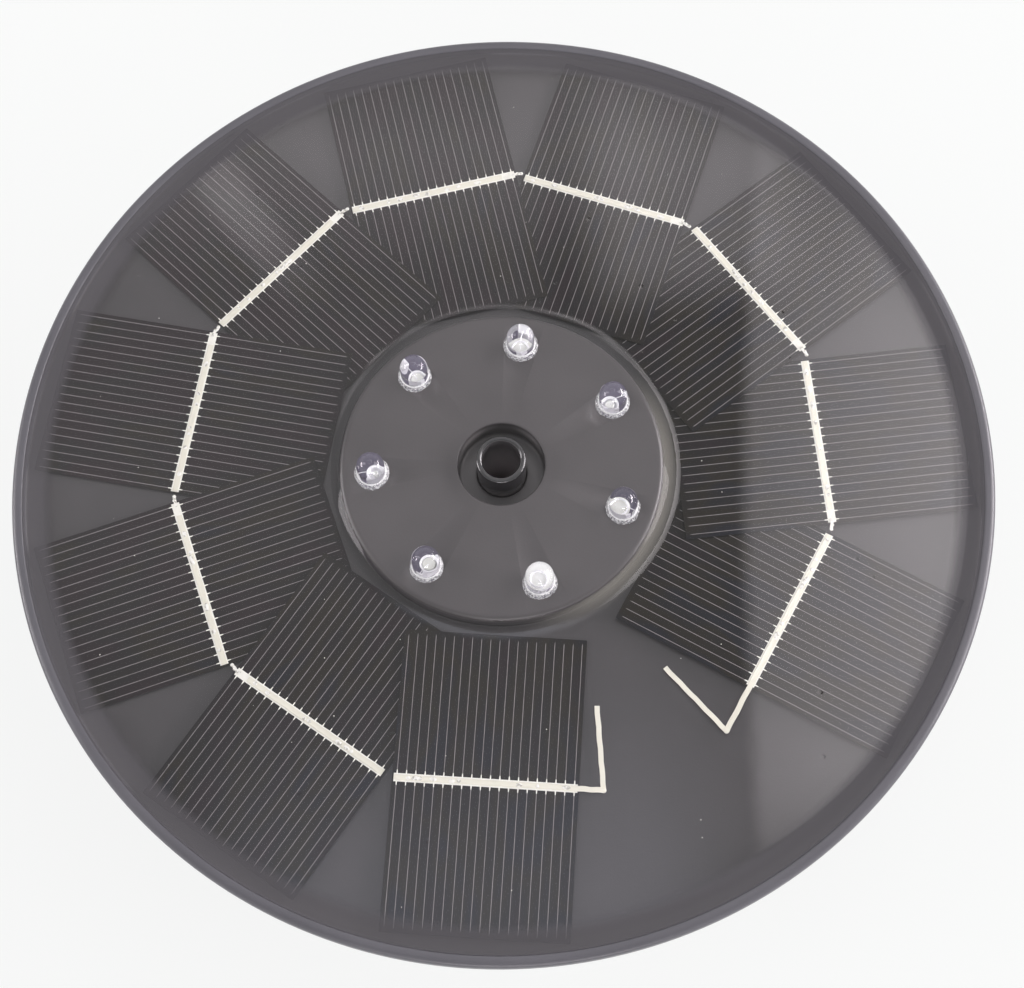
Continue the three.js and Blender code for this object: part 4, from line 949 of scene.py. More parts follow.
@dataclass(frozen=True)
class Rubber(Finish):
    """Matt rubber, paler in powdery patches."""

    colour: Colour = (0.022, 0.022, 0.022)
    roughness: float = 0.7

    def surface(self, s: Shader) -> Sock:
        """Args: s, to write in. Returns: the surface's shader."""
        place = s.place()
        dust = s.fade(s.noise(place, 3, 5), 0.45, 0.8)
        fine = s.noise(place, 0.2, 2)
        return s.principled(
            Base_Color=s.blend(0.5 * dust, self.colour, shade(self.colour, 3)),
            Roughness=self.roughness + 0.2 * dust,
            Specular_IOR_Level=0.35,
            Normal=s.bump(fine, 0.015),
        )


@dataclass(frozen=True)
class Wrap(Finish):
    """Shrunk plastic wrap with soft creases."""

    colour: Colour = (0.03, 0.12, 0.33)

    def surface(self, s: Shader) -> Sock:
        """Args: s, to write in. Returns: the surface's shader."""
        crease = s.noise(s.place(stretch=(1, 0.35, 1)), 3, 3, 1.5)
        cloud = s.noise(s.place(), 12, 2)
        return s.principled(
            Base_Color=s.blend(cloud, shade(self.colour, 0.8), shade(self.colour, 1.25)),
            Roughness=0.28 + 0.15 * crease,
            Coat_Weight=0.5,
            Normal=s.bump(crease, 0.25),
        )


@dataclass(frozen=True)
class ClearGlue(Finish):
    """A bead of clear glue with whitish ridges, white where it meets the lens; the white is partly milky
    glue and partly painted glints.
    """

    foot: Pair = (50.05, 50.25)

    def surface(self, s: Shader) -> Sock:
        """Args: s, to write in. Returns: the surface's shader."""
        place = s.place()
        ridge = s.noise(s.place(stretch=(1, 1, 0.15)), 0.4, 2)
        normal = s.bump(ridge, 0.5)
        glass = s.principled(
            Base_Color=(0.98, 0.99, 1.0),
            Roughness=0.04,
            IOR=1.48,
            Transmission_Weight=1.0,
            Normal=normal,
        )
        # Milky white, partly the glue's own colour and partly painted glints.
        milky_and_glint = s.principled(Base_Color=(0.95, 0.95, 0.96), Roughness=0.2, Normal=normal)
        _, _, z = s.parts(place)
        patchy = s.fade(s.noise(place, 0.4, 3), 0.45, 0.62, 0.06, 0.75)
        body = s.mixed(patchy.most(s.fade(z, *self.foot, 0, 0.9)), glass, milky_and_glint)
        return s.mixed(s.ray(*LIGHTING), body, s.clear())


class Palette:
    """Every finish on the fountain."""

    tray = TrayPlastic("moulded_tray", (0.094, 0.0875, 0.0905), 0.36, 0.08)
    hull = MouldedPlastic("moulded_hull", (0.03, 0.03, 0.032), 0.45, 0.15)
    cage = MouldedPlastic("moulded_cage", (0.026, 0.026, 0.028), 0.5, 0.15, 0.5, 0.02)
    pump = PumpPlastic("gloss_pump", (0.022, 0.021, 0.023), 0.12, 0.1, 0.6, 0.003, 1.0)
    impeller = MouldedPlastic("white_acetal", (0.66, 0.66, 0.63), 0.4, 0.05)
    resin = PouredResin("cast_resin", ior=1.56, waves=0.006, dimples=0.01)
    lens = ClearCast("led_lens", (0.99, 0.995, 1.0), 1.5)
    glue = ClearGlue("clear_glue")
    silicon = SolarSilicon("solar_silicon")
    finger = Metal("silver_finger", (0.245, 0.222, 0.228), (0.18, 0.16, 0.165), 0.1, 0.5, 2.5, 0.6, 0.001)
    busbar = Metal("silver_busbar", (0.95, 0.94, 0.87), (0.85, 0.83, 0.76), 0, 0.45, 1.5, 0.62, 0.02)
    ribbon = Metal("tinned_ribbon", (0.92, 0.885, 0.56), (0.62, 0.55, 0.42), 0.0, 0.45, 1.1, 0.55, 0.012)
    solder = Metal("solder", (0.96, 0.95, 0.9), (0.4, 0.38, 0.32), 0.15, 0.3, 0.6, 0.55, 0.03)
    lead_frame = Metal("silvered_lead_frame", (0.93, 0.92, 0.96), (0.6, 0.59, 0.62), 0.25, 0.3)
    phosphor = MouldedPlastic("phosphor", (0.84, 0.84, 0.78), 0.3, 0.3, 0.6)
    # Violet-grey plate inside each lens: painted reflection, in place of the violet-grey reflections seen
    # inside the dome.
    led_base = MouldedPlastic("led_base", (0.13, 0.118, 0.165), 0.3, 0.5, 0.8)
    steel = Metal("stainless_screw", (0.56, 0.57, 0.58), (0.36, 0.35, 0.34), 1.0, 0.28, 0.9, 0.66)
    ferrite = Metal("sintered_ferrite", (0.055, 0.055, 0.06), (0.03, 0.03, 0.032), 0.5, 0.45, 0.5, 0.5)
    ceramic = MouldedPlastic("ground_ceramic", (0.84, 0.82, 0.77), 0.2, 0.03, 0.2, 0.003)
    laminations = Laminated("stator_laminations")
    copper = WireCoil("wound_copper")
    board = CircuitBoard("circuit_board")
    led_board = CircuitBoard("led_circuit_board", (0.02, 0.019, 0.034))
    seal = Rubber("seal_rubber_black")
    button = Rubber("button_rubber_black", (0.03, 0.03, 0.031), 0.6)
    white = MouldedPlastic("white_switch", (0.6, 0.6, 0.58), 0.45, 0.05)
    wrap = Wrap("battery_wrap_film")
    jacket = Rubber("cable_jacket_black", (0.015, 0.015, 0.017), 0.5)


def dress_nodes(finishes: dict[str, Finish]) -> None:
    """Args: finishes, of CAD nodes that keep their meshes."""
    for node, finish in finishes.items():
        dress(frame["nodes"][node], finish.material())
        LOG.info("%s: %s", node, finish.name)


# ---------- shared sizes
@dataclass(frozen=True)
class Layout:
    """Heights and radii that several sub-assemblies share, in millimetres."""

    gap: float
    rim_r: float
    pan_r: float
    hub_r: float
    skirt_r: float
    pan_under: float
    pan_top: float
    cell_z: float
    rim_top: float
    hub_top: float
    hull_z: float
    floor_z: float
    rotor_x: float
    rotor_z: float
    tube_top: float
    button_y: float
    led_count: int = 7
    led_circle_r: float = 23
    first_led: float = 78.1
    post_count: int = 3
    post_circle_r: float = 70
    well_ceiling: float = 38
    well_top: float = 39.5
    pilot_r: float = 1.4
    lead_hole_r: float = 1.6
    lead_y: float = 20.2
    button_r: float = 5.2
    button_flange_r: float = 6.6
    pump_screws: tuple = ((-20.675, 0), (-20.675, 18), (5.475, 15))

    @classmethod
    def measured(cls) -> "Layout":
        """Returns: the sizes as the CAD frame has them."""
        _, tray = corners("top_tray")
        resin_low, resin = corners("resin_cover")
        shaft_low, shaft = corners("rotor_shaft")
        _, gasket = corners("saddle_gasket")
        button_low, button = corners("power_button")
        gap, wall = 0.3, 2
        bed, under_cells = 0.6, 1
        lip, overhang = 1.3, 2.5
        cell_z = resin_low.z - bed
        hull_z = gasket.z + gap
        return cls(
            gap=gap,
            rim_r=tray.x,
            pan_r=resin.x + gap,
            hub_r=28.8,
            skirt_r=tray.x - overhang,
            pan_under=cell_z - (under_cells + wall),
            pan_top=cell_z - under_cells,
            cell_z=cell_z,
            rim_top=cell_z + lip,
            hub_top=tray.z,
            hull_z=hull_z,
            floor_z=hull_z + wall,
            rotor_x=(shaft_low.x + shaft.x) / 2,
            rotor_z=(shaft_low.z + shaft.z) / 2,
            tube_top=corners("pump_body")[1].z,
            button_y=(button_low.y + button.y) / 2,
        )

    def on_rotor(self, shape: Shape) -> Shape:
        """Args: shape, drawn about Z. Returns: it laid along the rotor's axis."""
        lay = Matrix.Rotation(-math.pi / 2, 4, "X")
        return shape.moved(Matrix.Translation((self.rotor_x, 0, self.rotor_z)) @ lay)


@dataclass
class Assembly:
    """A sub-assembly that is built from the shared sizes."""

    layout: Layout

    def build(self) -> None:
        """Makes and dresses every piece of it."""
        raise NotImplementedError


# ---------- tray
@dataclass
class Tray(Assembly):
    """The round tray with its raised hub, sunk recess, rim and skirt."""

    edge: float = 0.4
    recess_r: float = 7.7
    recess_depth: float = 5
    recess_wall: float = 1.6
    tube_hole_r: float = 4.43
    hub_wall: float = 2
    hub_t: float = 1.2
    rim_lip: float = 2.6
    groove: Triple = (83, 81, 79.5)
    groove_bottom: float = 40.5
    led_hole_r: float = 2.65
    stake_count: int = 3
    stake_circle_r: float = 16
    stake_r: float = 1.8
    stake_tip_r: float = 0.9
    board_top: float = 44.8
    board_t: float = 1.2
    post_r: float = 3.6
    pilot_depth: float = 6.3

    def outline(self) -> Outline:
        """Returns: the section from the recess out to the rim and back under the pan."""
        s = self.layout
        floor = s.hub_top - self.recess_depth
        under = floor - self.recess_wall
        lip = s.rim_top - self.rim_lip
        outer, inner, rib = self.groove
        hub_in, ceiling = s.hub_r - self.hub_wall, s.hub_top - self.hub_t
        recess_out = self.recess_r + self.recess_wall
        return rounded([
            (self.tube_hole_r, under, 0.2),
            (self.tube_hole_r, floor, 0.3),
            (self.recess_r, floor, 0.5),
            (self.recess_r, s.hub_top, 0.28),
            (s.hub_r, s.hub_top, 0.8),
            (s.hub_r, s.pan_top, 0.3),
            (s.pan_r, s.pan_top, 0.5),
            (s.pan_r, s.rim_top, 0.35),
            (s.rim_r, s.rim_top, 1.15),
            (s.rim_r, lip, 0.4),
            (s.skirt_r, lip - self.edge, 0.3),
            (s.skirt_r, self.groove_bottom, 0.3),
            (outer, self.groove_bottom, 0.2),
            (outer, s.pan_under, 0.2),
            (inner, s.pan_under, 0.2),
            (inner, self.groove_bottom, 0.2),
            (rib, self.groove_bottom, 0.2),
            (rib, s.pan_under, 0.4),
            (hub_in, s.pan_under, 0.3),
            (hub_in, ceiling, 0.4),
            (recess_out, ceiling, 0.4),
            (recess_out, under, 0.3),
        ])

    def led_cutter(self) -> Shape:
        """Returns: the hole for one LED, opened out at the top."""
        top = self.layout.hub_top
        low = top - self.hub_t - PAST
        r, mouth = self.led_hole_r, 0.35
        return lathe([
            (0, low), (r, low), (r, top - mouth), (r + 0.12, top - 0.1), (r + mouth, top),
            (r + mouth, top + PAST), (0, top + PAST),
        ], 48)

    def feet(self) -> list[Shape]:
        """Returns: the stakes under the hub and the screw posts under the pan."""
        s = self.layout
        top = s.hub_top - self.hub_t + BITE
        low = self.board_top - self.board_t - 1
        step = self.board_top + s.gap
        stake = lathe(rounded([
            (0, low, 0), (self.stake_tip_r, low), (self.stake_tip_r, step, 0), (self.stake_r, step),
            (self.stake_r, top, 0), (0, top, 0),
        ], 0.2, 2), 24)
        post = rod(self.post_r, s.well_top + s.gap, s.pan_under + BITE, 32, 0.2)
        return [
            *spread(self.stake_count, stake, self.stake_circle_r),
            *spread(s.post_count, post, s.post_circle_r),
        ]

    def build(self) -> None:
        """Makes the tray: turned section, feet, pilot holes, then the ring of LED holes."""
        s = self.layout
        pilot = rod(s.pilot_r, s.well_top, s.well_ceiling + self.pilot_depth, 24)
        pilots = spread(s.post_count, pilot, s.post_circle_r)
        tray = carved("tray_shell", [lathe(self.outline(), 240), *self.feet()], pilots)
        cutter = self.led_cutter().object("led_hole_cutter")
        tree = ShapeTree("ring_of_led_holes")
        plastic = tree.size("Plastic", Palette.tray.material())
        first = math.radians(s.first_led)
        holes = tree.ring(cutter, s.led_count, s.led_circle_r, plastic, first)
        tree.grow(tray, tree.cut(tree.coat(tree.given, plastic), holes))
        discard(cutter)
        dress(tray, Palette.tray.material())
        publish(tray, Body.DISC, "tray_plastic", "top_tray")


# ---------- solar cells
@dataclass(frozen=True)
class Laid:
    """How far a hand-laid cell strays from its even place, and its turn in degrees."""

    out: float = 0
    along: float = 0
    turn: float = 0


@dataclass(frozen=True)
class Tail:
    """A ribbon that runs on past its cell and folds back inwards."""

    side: int
    reach: float
    back: float
    inward: float


@dataclass
class SolarRing(Assembly):
    """Ten cells laid like shingles round the hub, with their fingers, busbars and ribbons."""

    slots: int = 11
    empty: int = 5
    first: float = 99.9
    width: float = 31.73
    length: float = 51.9
    thickness: float = 0.16
    ring_r: float = 56.75
    slope: float = 0.02
    fingers: int = 20
    finger_w: float = 0.12
    finger_l: float = 50.5
    finger_t: float = 0.02
    finger_point: float = 0.4
    busbar_w: float = 1.45
    busbar_t: float = 0.03
    busbar_z: float = 0.07
    busbar_gap: float = 0.25
    tooth_w: float = 0.13
    tooth_tip: float = 0.07
    tooth_l: float = 0.6
    bare_end: float = 2.4
    ribbon_w: float = 0.95
    ribbon_t: float = 0.09
    ribbon_gap: float = 0.3
    ribbon_z: float = 0.15
    ribbon_steps: int = 24
    wander: float = 0.09
    blobs: int = 9
    laid: list[Laid] = field(default_factory=lambda: [
        Laid(), Laid(-0.2, 0, 1), Laid(0.4, 0, -0.2), Laid(0.1, 0, 1.2), Laid(0, 0, -1),
        Laid(0, -0.6, -0.5), Laid(-0.2, -0.4, 1.2), Laid(0.3, -0.4, -2.2), Laid(0, 0.1, 1.2),
        Laid(0.3, 0.1, 0.5),
    ])
    tails: dict[int, Tail] = field(default_factory=lambda: {
        5: Tail(1, 8.8, 4.9, 14.3), 6: Tail(-1, 4.3, 1.9, 14.5),
    })

    @property
    def ribbon_half(self) -> float:
        """Returns: half of the length that a ribbon has to lie on."""
        return self.width / 2 - self.ribbon_gap

    def frame(self, number: int) -> Matrix:
        """Args: number, the cell's from 1. Returns: its place, with +Y outwards."""
        slots = [slot for slot in range(self.slots) if slot != self.empty]
        angle = math.radians(self.first - slots[number - 1] * 360 / self.slots - 90)
        laid = self.laid[number - 1]
        place = Matrix.Translation((laid.along, self.ring_r + laid.out, self.layout.cell_z))
        tilt = Matrix.Rotation(-math.atan(self.slope), 4, "Y")
        turn = Matrix.Rotation(math.radians(laid.turn), 4, "Z")
        return Matrix.Rotation(angle, 4, "Z") @ place @ tilt @ turn

    def finger(self) -> Shape:
        """Returns: one finger, with a pointed end."""
        thin, end = self.finger_w / 2, self.finger_l / 2
        half = [(thin, -end + self.finger_point), (thin, end - self.finger_point), (thin / 2, end)]
        return prism(half + [(-x, -y) for x, y in half], 0, self.finger_t)

    def wafer(self) -> Shape:
        """Returns: the wafer, with its busbar printed across the middle."""
        body = prism(rectangle(self.width, self.length, 0.15, 2), -self.thickness / 2,
                     self.thickness / 2, 0.03, 1)
        return Shape().add(body).add(self.bar(), finish=1)

    def bar(self) -> Shape:
        """Returns: the printed busbar, with a pointed tooth where each finger meets it."""
        half, side = self.width / 2 - self.busbar_gap, self.busbar_w / 2
        pitch, point = self.width / self.fingers, -side - self.tooth_l
        edge: Outline = [(-half, -side)]
        for k in range(self.fingers):
            x = (k - (self.fingers - 1) / 2) * pitch
            edge += [(x - self.tooth_w, -side), (x - self.tooth_tip, point),
                     (x + self.tooth_tip, point), (x + self.tooth_w, -side)]
        edge.append((half, -side))
        inside = [(x, y) for x, y in edge if abs(x) <= half]
        bar = prism(inside + [(-x, -y) for x, y in inside], 0, self.busbar_t)
        return bar.at(z=self.busbar_z)

    def cell(self, number: int, finger: Piece) -> Piece:
        """Args: number, the cell's; finger, the model to copy. Returns: the finished cell."""
        silicon, silver = Palette.silicon.material(), Palette.busbar.material()
        cell = self.wafer().object(f"wafer_{number}", silicon, silver)
        tree = ShapeTree(f"fingers_{number}")
        count = tree.size("Finger Count", self.fingers)
        pitch = tree.size("Finger Pitch", self.width / self.fingers * MM)
        lift = tree.size("Height", (self.thickness / 2 - 0.005) * MM)
        uneven = tree.size("Uneven Ends", 0.008)
        model = tree.size("Finger", finger)
        silver = tree.size("Silver", Palette.finger.material())
        start = tree.node("ShaderNodeCombineXYZ", None, {"X": pitch * (count - 1) * -0.5, "Z": lift})
        step = tree.node("ShaderNodeCombineXYZ", None, {"X": pitch})
        line = tree.node("GeometryNodeMeshLine", None,
                         {"Count": count, "Start Location": start, "Offset": step})
        chance = tree.chance(1 - uneven, 1 + uneven, number)
        scale = tree.node("ShaderNodeCombineXYZ", None, {"X": 1.0, "Y": chance, "Z": 1.0})
        fingers = tree.copies(line, model, silver, Scale=scale)
        whole = tree.node("GeometryNodeJoinGeometry", None, {0: tree.given})
        tree.feed(whole.socket.node.inputs[0], fingers)
        place = tree.node("GeometryNodeInputPosition")
        kept = tree.node("GeometryNodeStoreNamedAttribute",
                         {"data_type": "FLOAT_VECTOR", "domain": "POINT"},
                         {"Geometry": whole, "Name": "laid", "Value": place})
        tree.grow(cell, kept)
        frame = self.frame(number)
        frame.translation *= MM
        cell.data.transform(frame)
        return cell

    def ribbon(self, number: int) -> Shape:
        """Args: number, the cell's. Returns: its tabbing ribbon in the cell's own frame."""
        chance = random.Random(number)
        half, level, steps = self.ribbon_half, self.ribbon_z, self.ribbon_steps
        tail = self.tails.get(number)
        reach = 2 * half - (0 if tail else self.bare_end)
        wander = [chance.uniform(-self.wander, self.wander) for _ in range(steps + 1)]
        path = []
        for k in range(steps + 1):
            x = -half + reach * k / steps
            drift = wander[k] if k % 4 == 0 else 0.04 * math.sin(k * 1.7 + number)
            path.append(Vector((x, drift, level + 0.012 * math.sin(k * 2.3 + number))))
        section = rectangle(self.ribbon_w, self.ribbon_t, 0.03, 1)
        shape = Shape().add(sweep(path, section, UP))
        for _ in range(self.blobs):
            blob = lathe([(0, 0), (0.36, 0), (0.3, 0.05), (0.16, 0.09), (0, 0.1)], 10)
            stretch = Matrix.Diagonal((chance.uniform(0.8, 2.2), 1.1, 0.8, 1))
            spot = (chance.uniform(1, reach - 1) - half, chance.uniform(-0.12, 0.12), level + 0.03)
            shape.add(blob.moved(Matrix.Translation(spot) @ stretch), finish=1)
        if tail:
            return shape.add(self.tail(tail), finish=0)
        return shape.add(*self.link(chance), finish=1)

    def link(self, chance: random.Random) -> list[Shape]:
        """Args: chance, for small turns. Returns: the crooked bit of wire towards the next
        cell's ribbon."""
        half, level = self.ribbon_half, self.ribbon_z
        bend = chance.uniform(-0.35, 0.1)
        path = flowing([
            Vector((half - 0.7, 0, level + 0.05)),
            Vector((half + 0.2, -0.1, level + 0.04)),
            Vector((half + 0.8, bend - 0.15, level)),
            Vector((half + 1.5, bend - 0.3, level - 0.02)),
        ], 4)
        knob = rod(0.34, 0, 0.14, 10, 0.06).at(half + 1.3, bend - 0.25, level - 0.06)
        lump = rod(0.3, 0, 0.13, 9, 0.05).at(half + 0.55, bend * 0.4, level - 0.05)
        return [sweep(path, rectangle(0.55, 0.1, 0.04, 1), UP), knob, lump]

    def tail(self, tail: Tail) -> Shape:
        """Args: tail, its sizes. Returns: the run past the cell and the folded-back length."""
        half, level = self.ribbon_half, self.ribbon_z
        side, sway = tail.side, 0.05
        run_steps, back_steps = 10, 12
        fold = half + 0.15 + tail.reach
        drop = (-2 * self.slope if side > 0 else 0) * (fold - half)
        run = [Vector((side * (half - 1 + (fold - half + 1) * k / run_steps),
                       sway * math.sin(k * 1.3),
                       level + 0.02 + drop * k / run_steps)) for k in range(run_steps + 1)]
        low = level + drop - 0.07
        foot = Vector((side * fold, 0, low))
        tip = Vector((side * (fold - tail.back), -tail.inward, low))
        back = []
        for k in range(back_steps + 1):
            back.append(foot.lerp(tip, k / back_steps) + Vector((sway * math.sin(k * 1.9), 0, 0)))
        flat = rectangle(self.ribbon_w, self.ribbon_t, 0.03, 1)
        narrow = rectangle(self.ribbon_w * 0.93, self.ribbon_t, 0.03, 1)
        elbow = rod(0.5, 0, 0.13, 12, 0.05).at(side * fold, 0, low - 0.02)
        return Shape().add(sweep(run, flat, UP), sweep(back, narrow, UP), elbow)

    def build(self) -> None:
        """Makes the ten cells and their ribbons."""
        finger = self.finger().object("finger_model")
        for number in range(1, len(self.laid) + 1):
            cell = self.cell(number, finger)
            publish(cell, Body.DISC, "silicon", f"solar_cell_{number}")
            shape = self.ribbon(number).moved(self.frame(number))
            ribbon = shape.object(f"tabbing_{number}", Palette.ribbon.material(),
                                  Palette.solder.material())
            publish(ribbon, Body.DISC, "tinned_ribbon", f"cell_ribbon_{number}")
        discard(finger)


# ---------- resin
@dataclass
class Resin(Assembly):
    """The clear resin poured over the cells, drawn up at the hub and the rim."""

    level: float = 47.25
    hub_climb: float = 3.6
    hub_rise: float = 0.6
    hub_curve: float = 2.3
    rim_climb: float = 4.6
    rim_drop: float = 0.08
    tuck: float = 0.04
    level_r: float = 60
    dust: int = 70
    dust_sizes: Pair = (0.4, 1.3)
    dust_ring: Pair = (32.8, 80)

    def outline(self) -> Outline:
        """Returns: the resin's section, from the pan to its drawn-up surface."""
        s = self.layout
        low = s.pan_top - self.tuck
        inner, outer = s.hub_r - self.tuck, s.pan_r + self.tuck
        top_hub, top_rim = self.level + self.hub_rise, s.rim_top - self.rim_drop
        points = [(inner, low), (outer, low), (outer, top_rim)]
        steps = 12
        for k in range(steps + 1):
            t = 1 - k / steps
            rise = (top_rim - self.level) * t * t
            points.append((outer - self.rim_climb * (1 - t), self.level + rise))
        points.append((self.level_r, self.level))
        for k in range(steps + 1):
            t = k / steps
            rise = (top_hub - self.level) * t ** self.hub_curve
            points.append((inner + self.hub_climb * (1 - t), self.level + rise))
        return [p for i, p in enumerate(points) if p != points[i - 1]]

    def specks(self) -> Piece:
        """Returns: dust settled on the resin, scattered with a fixed seed."""
        inner, outer = self.dust_ring
        skin = self.level + 0.01
        sheet = lathe([(inner, self.level), (outer, self.level), (outer, skin), (inner, skin)], 48)
        bed = sheet.object("dust_specks")
        flake = lathe([(0, -0.02), (0.09, 0), (0.05, 0.04), (0, 0.05)], 6).object("flake_model")
        tree = ShapeTree("dust")
        density = tree.size("Specks Per Square Metre", self.dust / 0.04)
        seed = tree.size("Seed", 11)
        model = tree.size("Flake", flake)
        grey = tree.size("Dust", Palette.ceramic.material())
        points = tree.node("GeometryNodeDistributePointsOnFaces", None,
                           {"Mesh": tree.given, "Density": density, "Seed": seed})
        size = tree.chance(*self.dust_sizes, seed)
        tree.grow(bed, tree.copies(points, model, grey, Scale=size))
        discard(flake)
        return bed

    def build(self) -> None:
        """Makes the resin and the dust on it."""
        resin = lathe(self.outline(), 240).object("resin_pour", Palette.resin.material())
        smooth(resin, 60)
        publish(resin, Body.DISC, "clear_resin", "resin_cover")
        publish(self.specks(), Body.DISC, "clear_resin")


# ---------- LEDs
@dataclass
class Leds(Assembly):
    """Seven clear 5 mm LEDs, each glued into its hole in the hub."""

    radius: float = 2.5
    flange_r: float = 2.9
    base: float = 46.65
    flange_top: float = 47.65
    dome_centre: float = 52.75
    cup_z: float = 51.2
    cup_x: float = -0.25
    side_x: float = -1.55
    post_x: float = 1.4
    pin_x: float = 1.27
    plate_r: float = 2.35
    plate: Pair = (0.12, 2.1)
    board_under: float = 43.3
    first_seed: int = 41
    fills: tuple[float, ...] = (0.95, 0.36, 0.8, 1.2, 0.5, 0.2, 0.5)

    def lens(self) -> Shape:
        """Returns: the clear body, from its flange to its dome."""
        edge, steps = 0.15, 16
        flange, low, high = self.flange_r, self.base, self.flange_top
        outline = [(0, low), (flange - edge, low), (flange, low + edge), (flange, high - edge),
                   (flange - edge, high), (self.radius, high)]
        for k in range(steps + 1):
            angle = math.pi / 2 * k / steps
            r = self.radius * math.cos(angle)
            outline.append((0 if k == steps else r, self.dome_centre + self.radius * math.sin(angle)))
        return lathe(outline, 64)

    def lead_frame(self) -> Shape:
        """Returns: the anvil with its cup, a post on each side and both pins."""
        low, z = self.base + 0.6, self.cup_z
        anvil = prism([(-1.45, -0.25), (0.35, -0.25), (0.35, 0.25), (-1.45, 0.25)], low, z - 0.55,
                      0.06, 1)
        side = prism(rectangle(0.6, 0.7, 0.08, 2), low, z, 0.06, 1).at(self.side_x)
        cup = lathe(rounded([(0, z - 0.65), (0.4, z - 0.65), (0.72, z), (0.62, z), (0.36, z - 0.4),
                             (0, z - 0.4)], 0.04, 2), 32).at(self.cup_x)
        post = prism(rectangle(0.75, 0.7, 0.08, 2), low, z + 0.2, 0.06, 1).at(self.post_x)
        pin = prism(rectangle(0.5, 0.5, 0.08, 2), self.board_under, self.base + 0.7, 0.05, 1)
        wire = [(self.cup_x, 0, z - 0.2), (0.3, 0.05, z + 0.3), (1.2, 0, z + 0.2)]
        bond = sweep(flowing([Vector(p) for p in wire], 5), round_section(0.035, 6))
        return Shape().add(anvil, side, cup, post, pin.at(-self.pin_x), pin.at(self.pin_x), bond)

    def fill(self, wide: float) -> Shape:
        """Args: wide, its radius. Returns: the pale fill in the cup, which may run over."""
        z = self.cup_z - 0.1
        return lathe([
            (0, z - 0.3), (0.7 * wide, z - 0.3), (wide, z), (0.85 * wide, z + 0.04), (0, z - 0.05),
        ], 24).at(self.cup_x)

    def collar(self, chance: random.Random) -> Shape:
        """Args: chance, for its uneven edge. Returns: the bead of glue round the lens."""
        r, top = self.radius, self.layout.hub_top
        shape = lathe([(r - 0.05, top - 0.3), (r + 0.3, top - 0.3), (r + 0.6, top + 0.02),
                       (r + 0.56, top + 0.5), (r + 0.38, top + 0.95), (r + 0.14, top + 1.25),
                       (r - 0.05, top + 1.35)], 48)
        bumps = 12
        swell = [1 + chance.uniform(-0.05, 0.05) for _ in range(bumps)]
        for p in shape.points:
            turn = math.atan2(p.y, p.x) / (2 * math.pi) % 1 * bumps
            k = int(turn) % bumps
            factor = swell[k] + (swell[(k + 1) % bumps] - swell[k]) * (turn - int(turn))
            if math.hypot(p.x, p.y) > r + 0.2:
                p.x *= factor
                p.y *= factor
        return shape

    def build(self) -> None:
        """Makes the seven LEDs and dresses the board under them."""
        s = self.layout
        low, high = (self.base + height for height in self.plate)
        for k in range(s.led_count):
            collar = self.collar(random.Random(self.first_seed + k))
            # This plate inside the lens carries that painted reflection.
            plate = rod(self.plate_r, low, high, 40, 0.1)
            whole = Shape()
            rows = (self.lens(), self.lead_frame(), self.fill(self.fills[k]), collar, plate)
            for finish, shape in enumerate(rows):
                whole.add(shape, finish=finish)
            whole = whole.at(s.led_circle_r).at(turn=s.first_led - k * 360 / s.led_count)
            led = whole.object(f"clear_led_{k + 1}", Palette.lens.material(),
                               Palette.lead_frame.material(), Palette.phosphor.material(),
                               Palette.glue.material(), Palette.led_base.material())
            publish(led, Body.DISC, "clear_lens", f"led_{k + 1}")
        dress_nodes({"led_board": Palette.led_board})


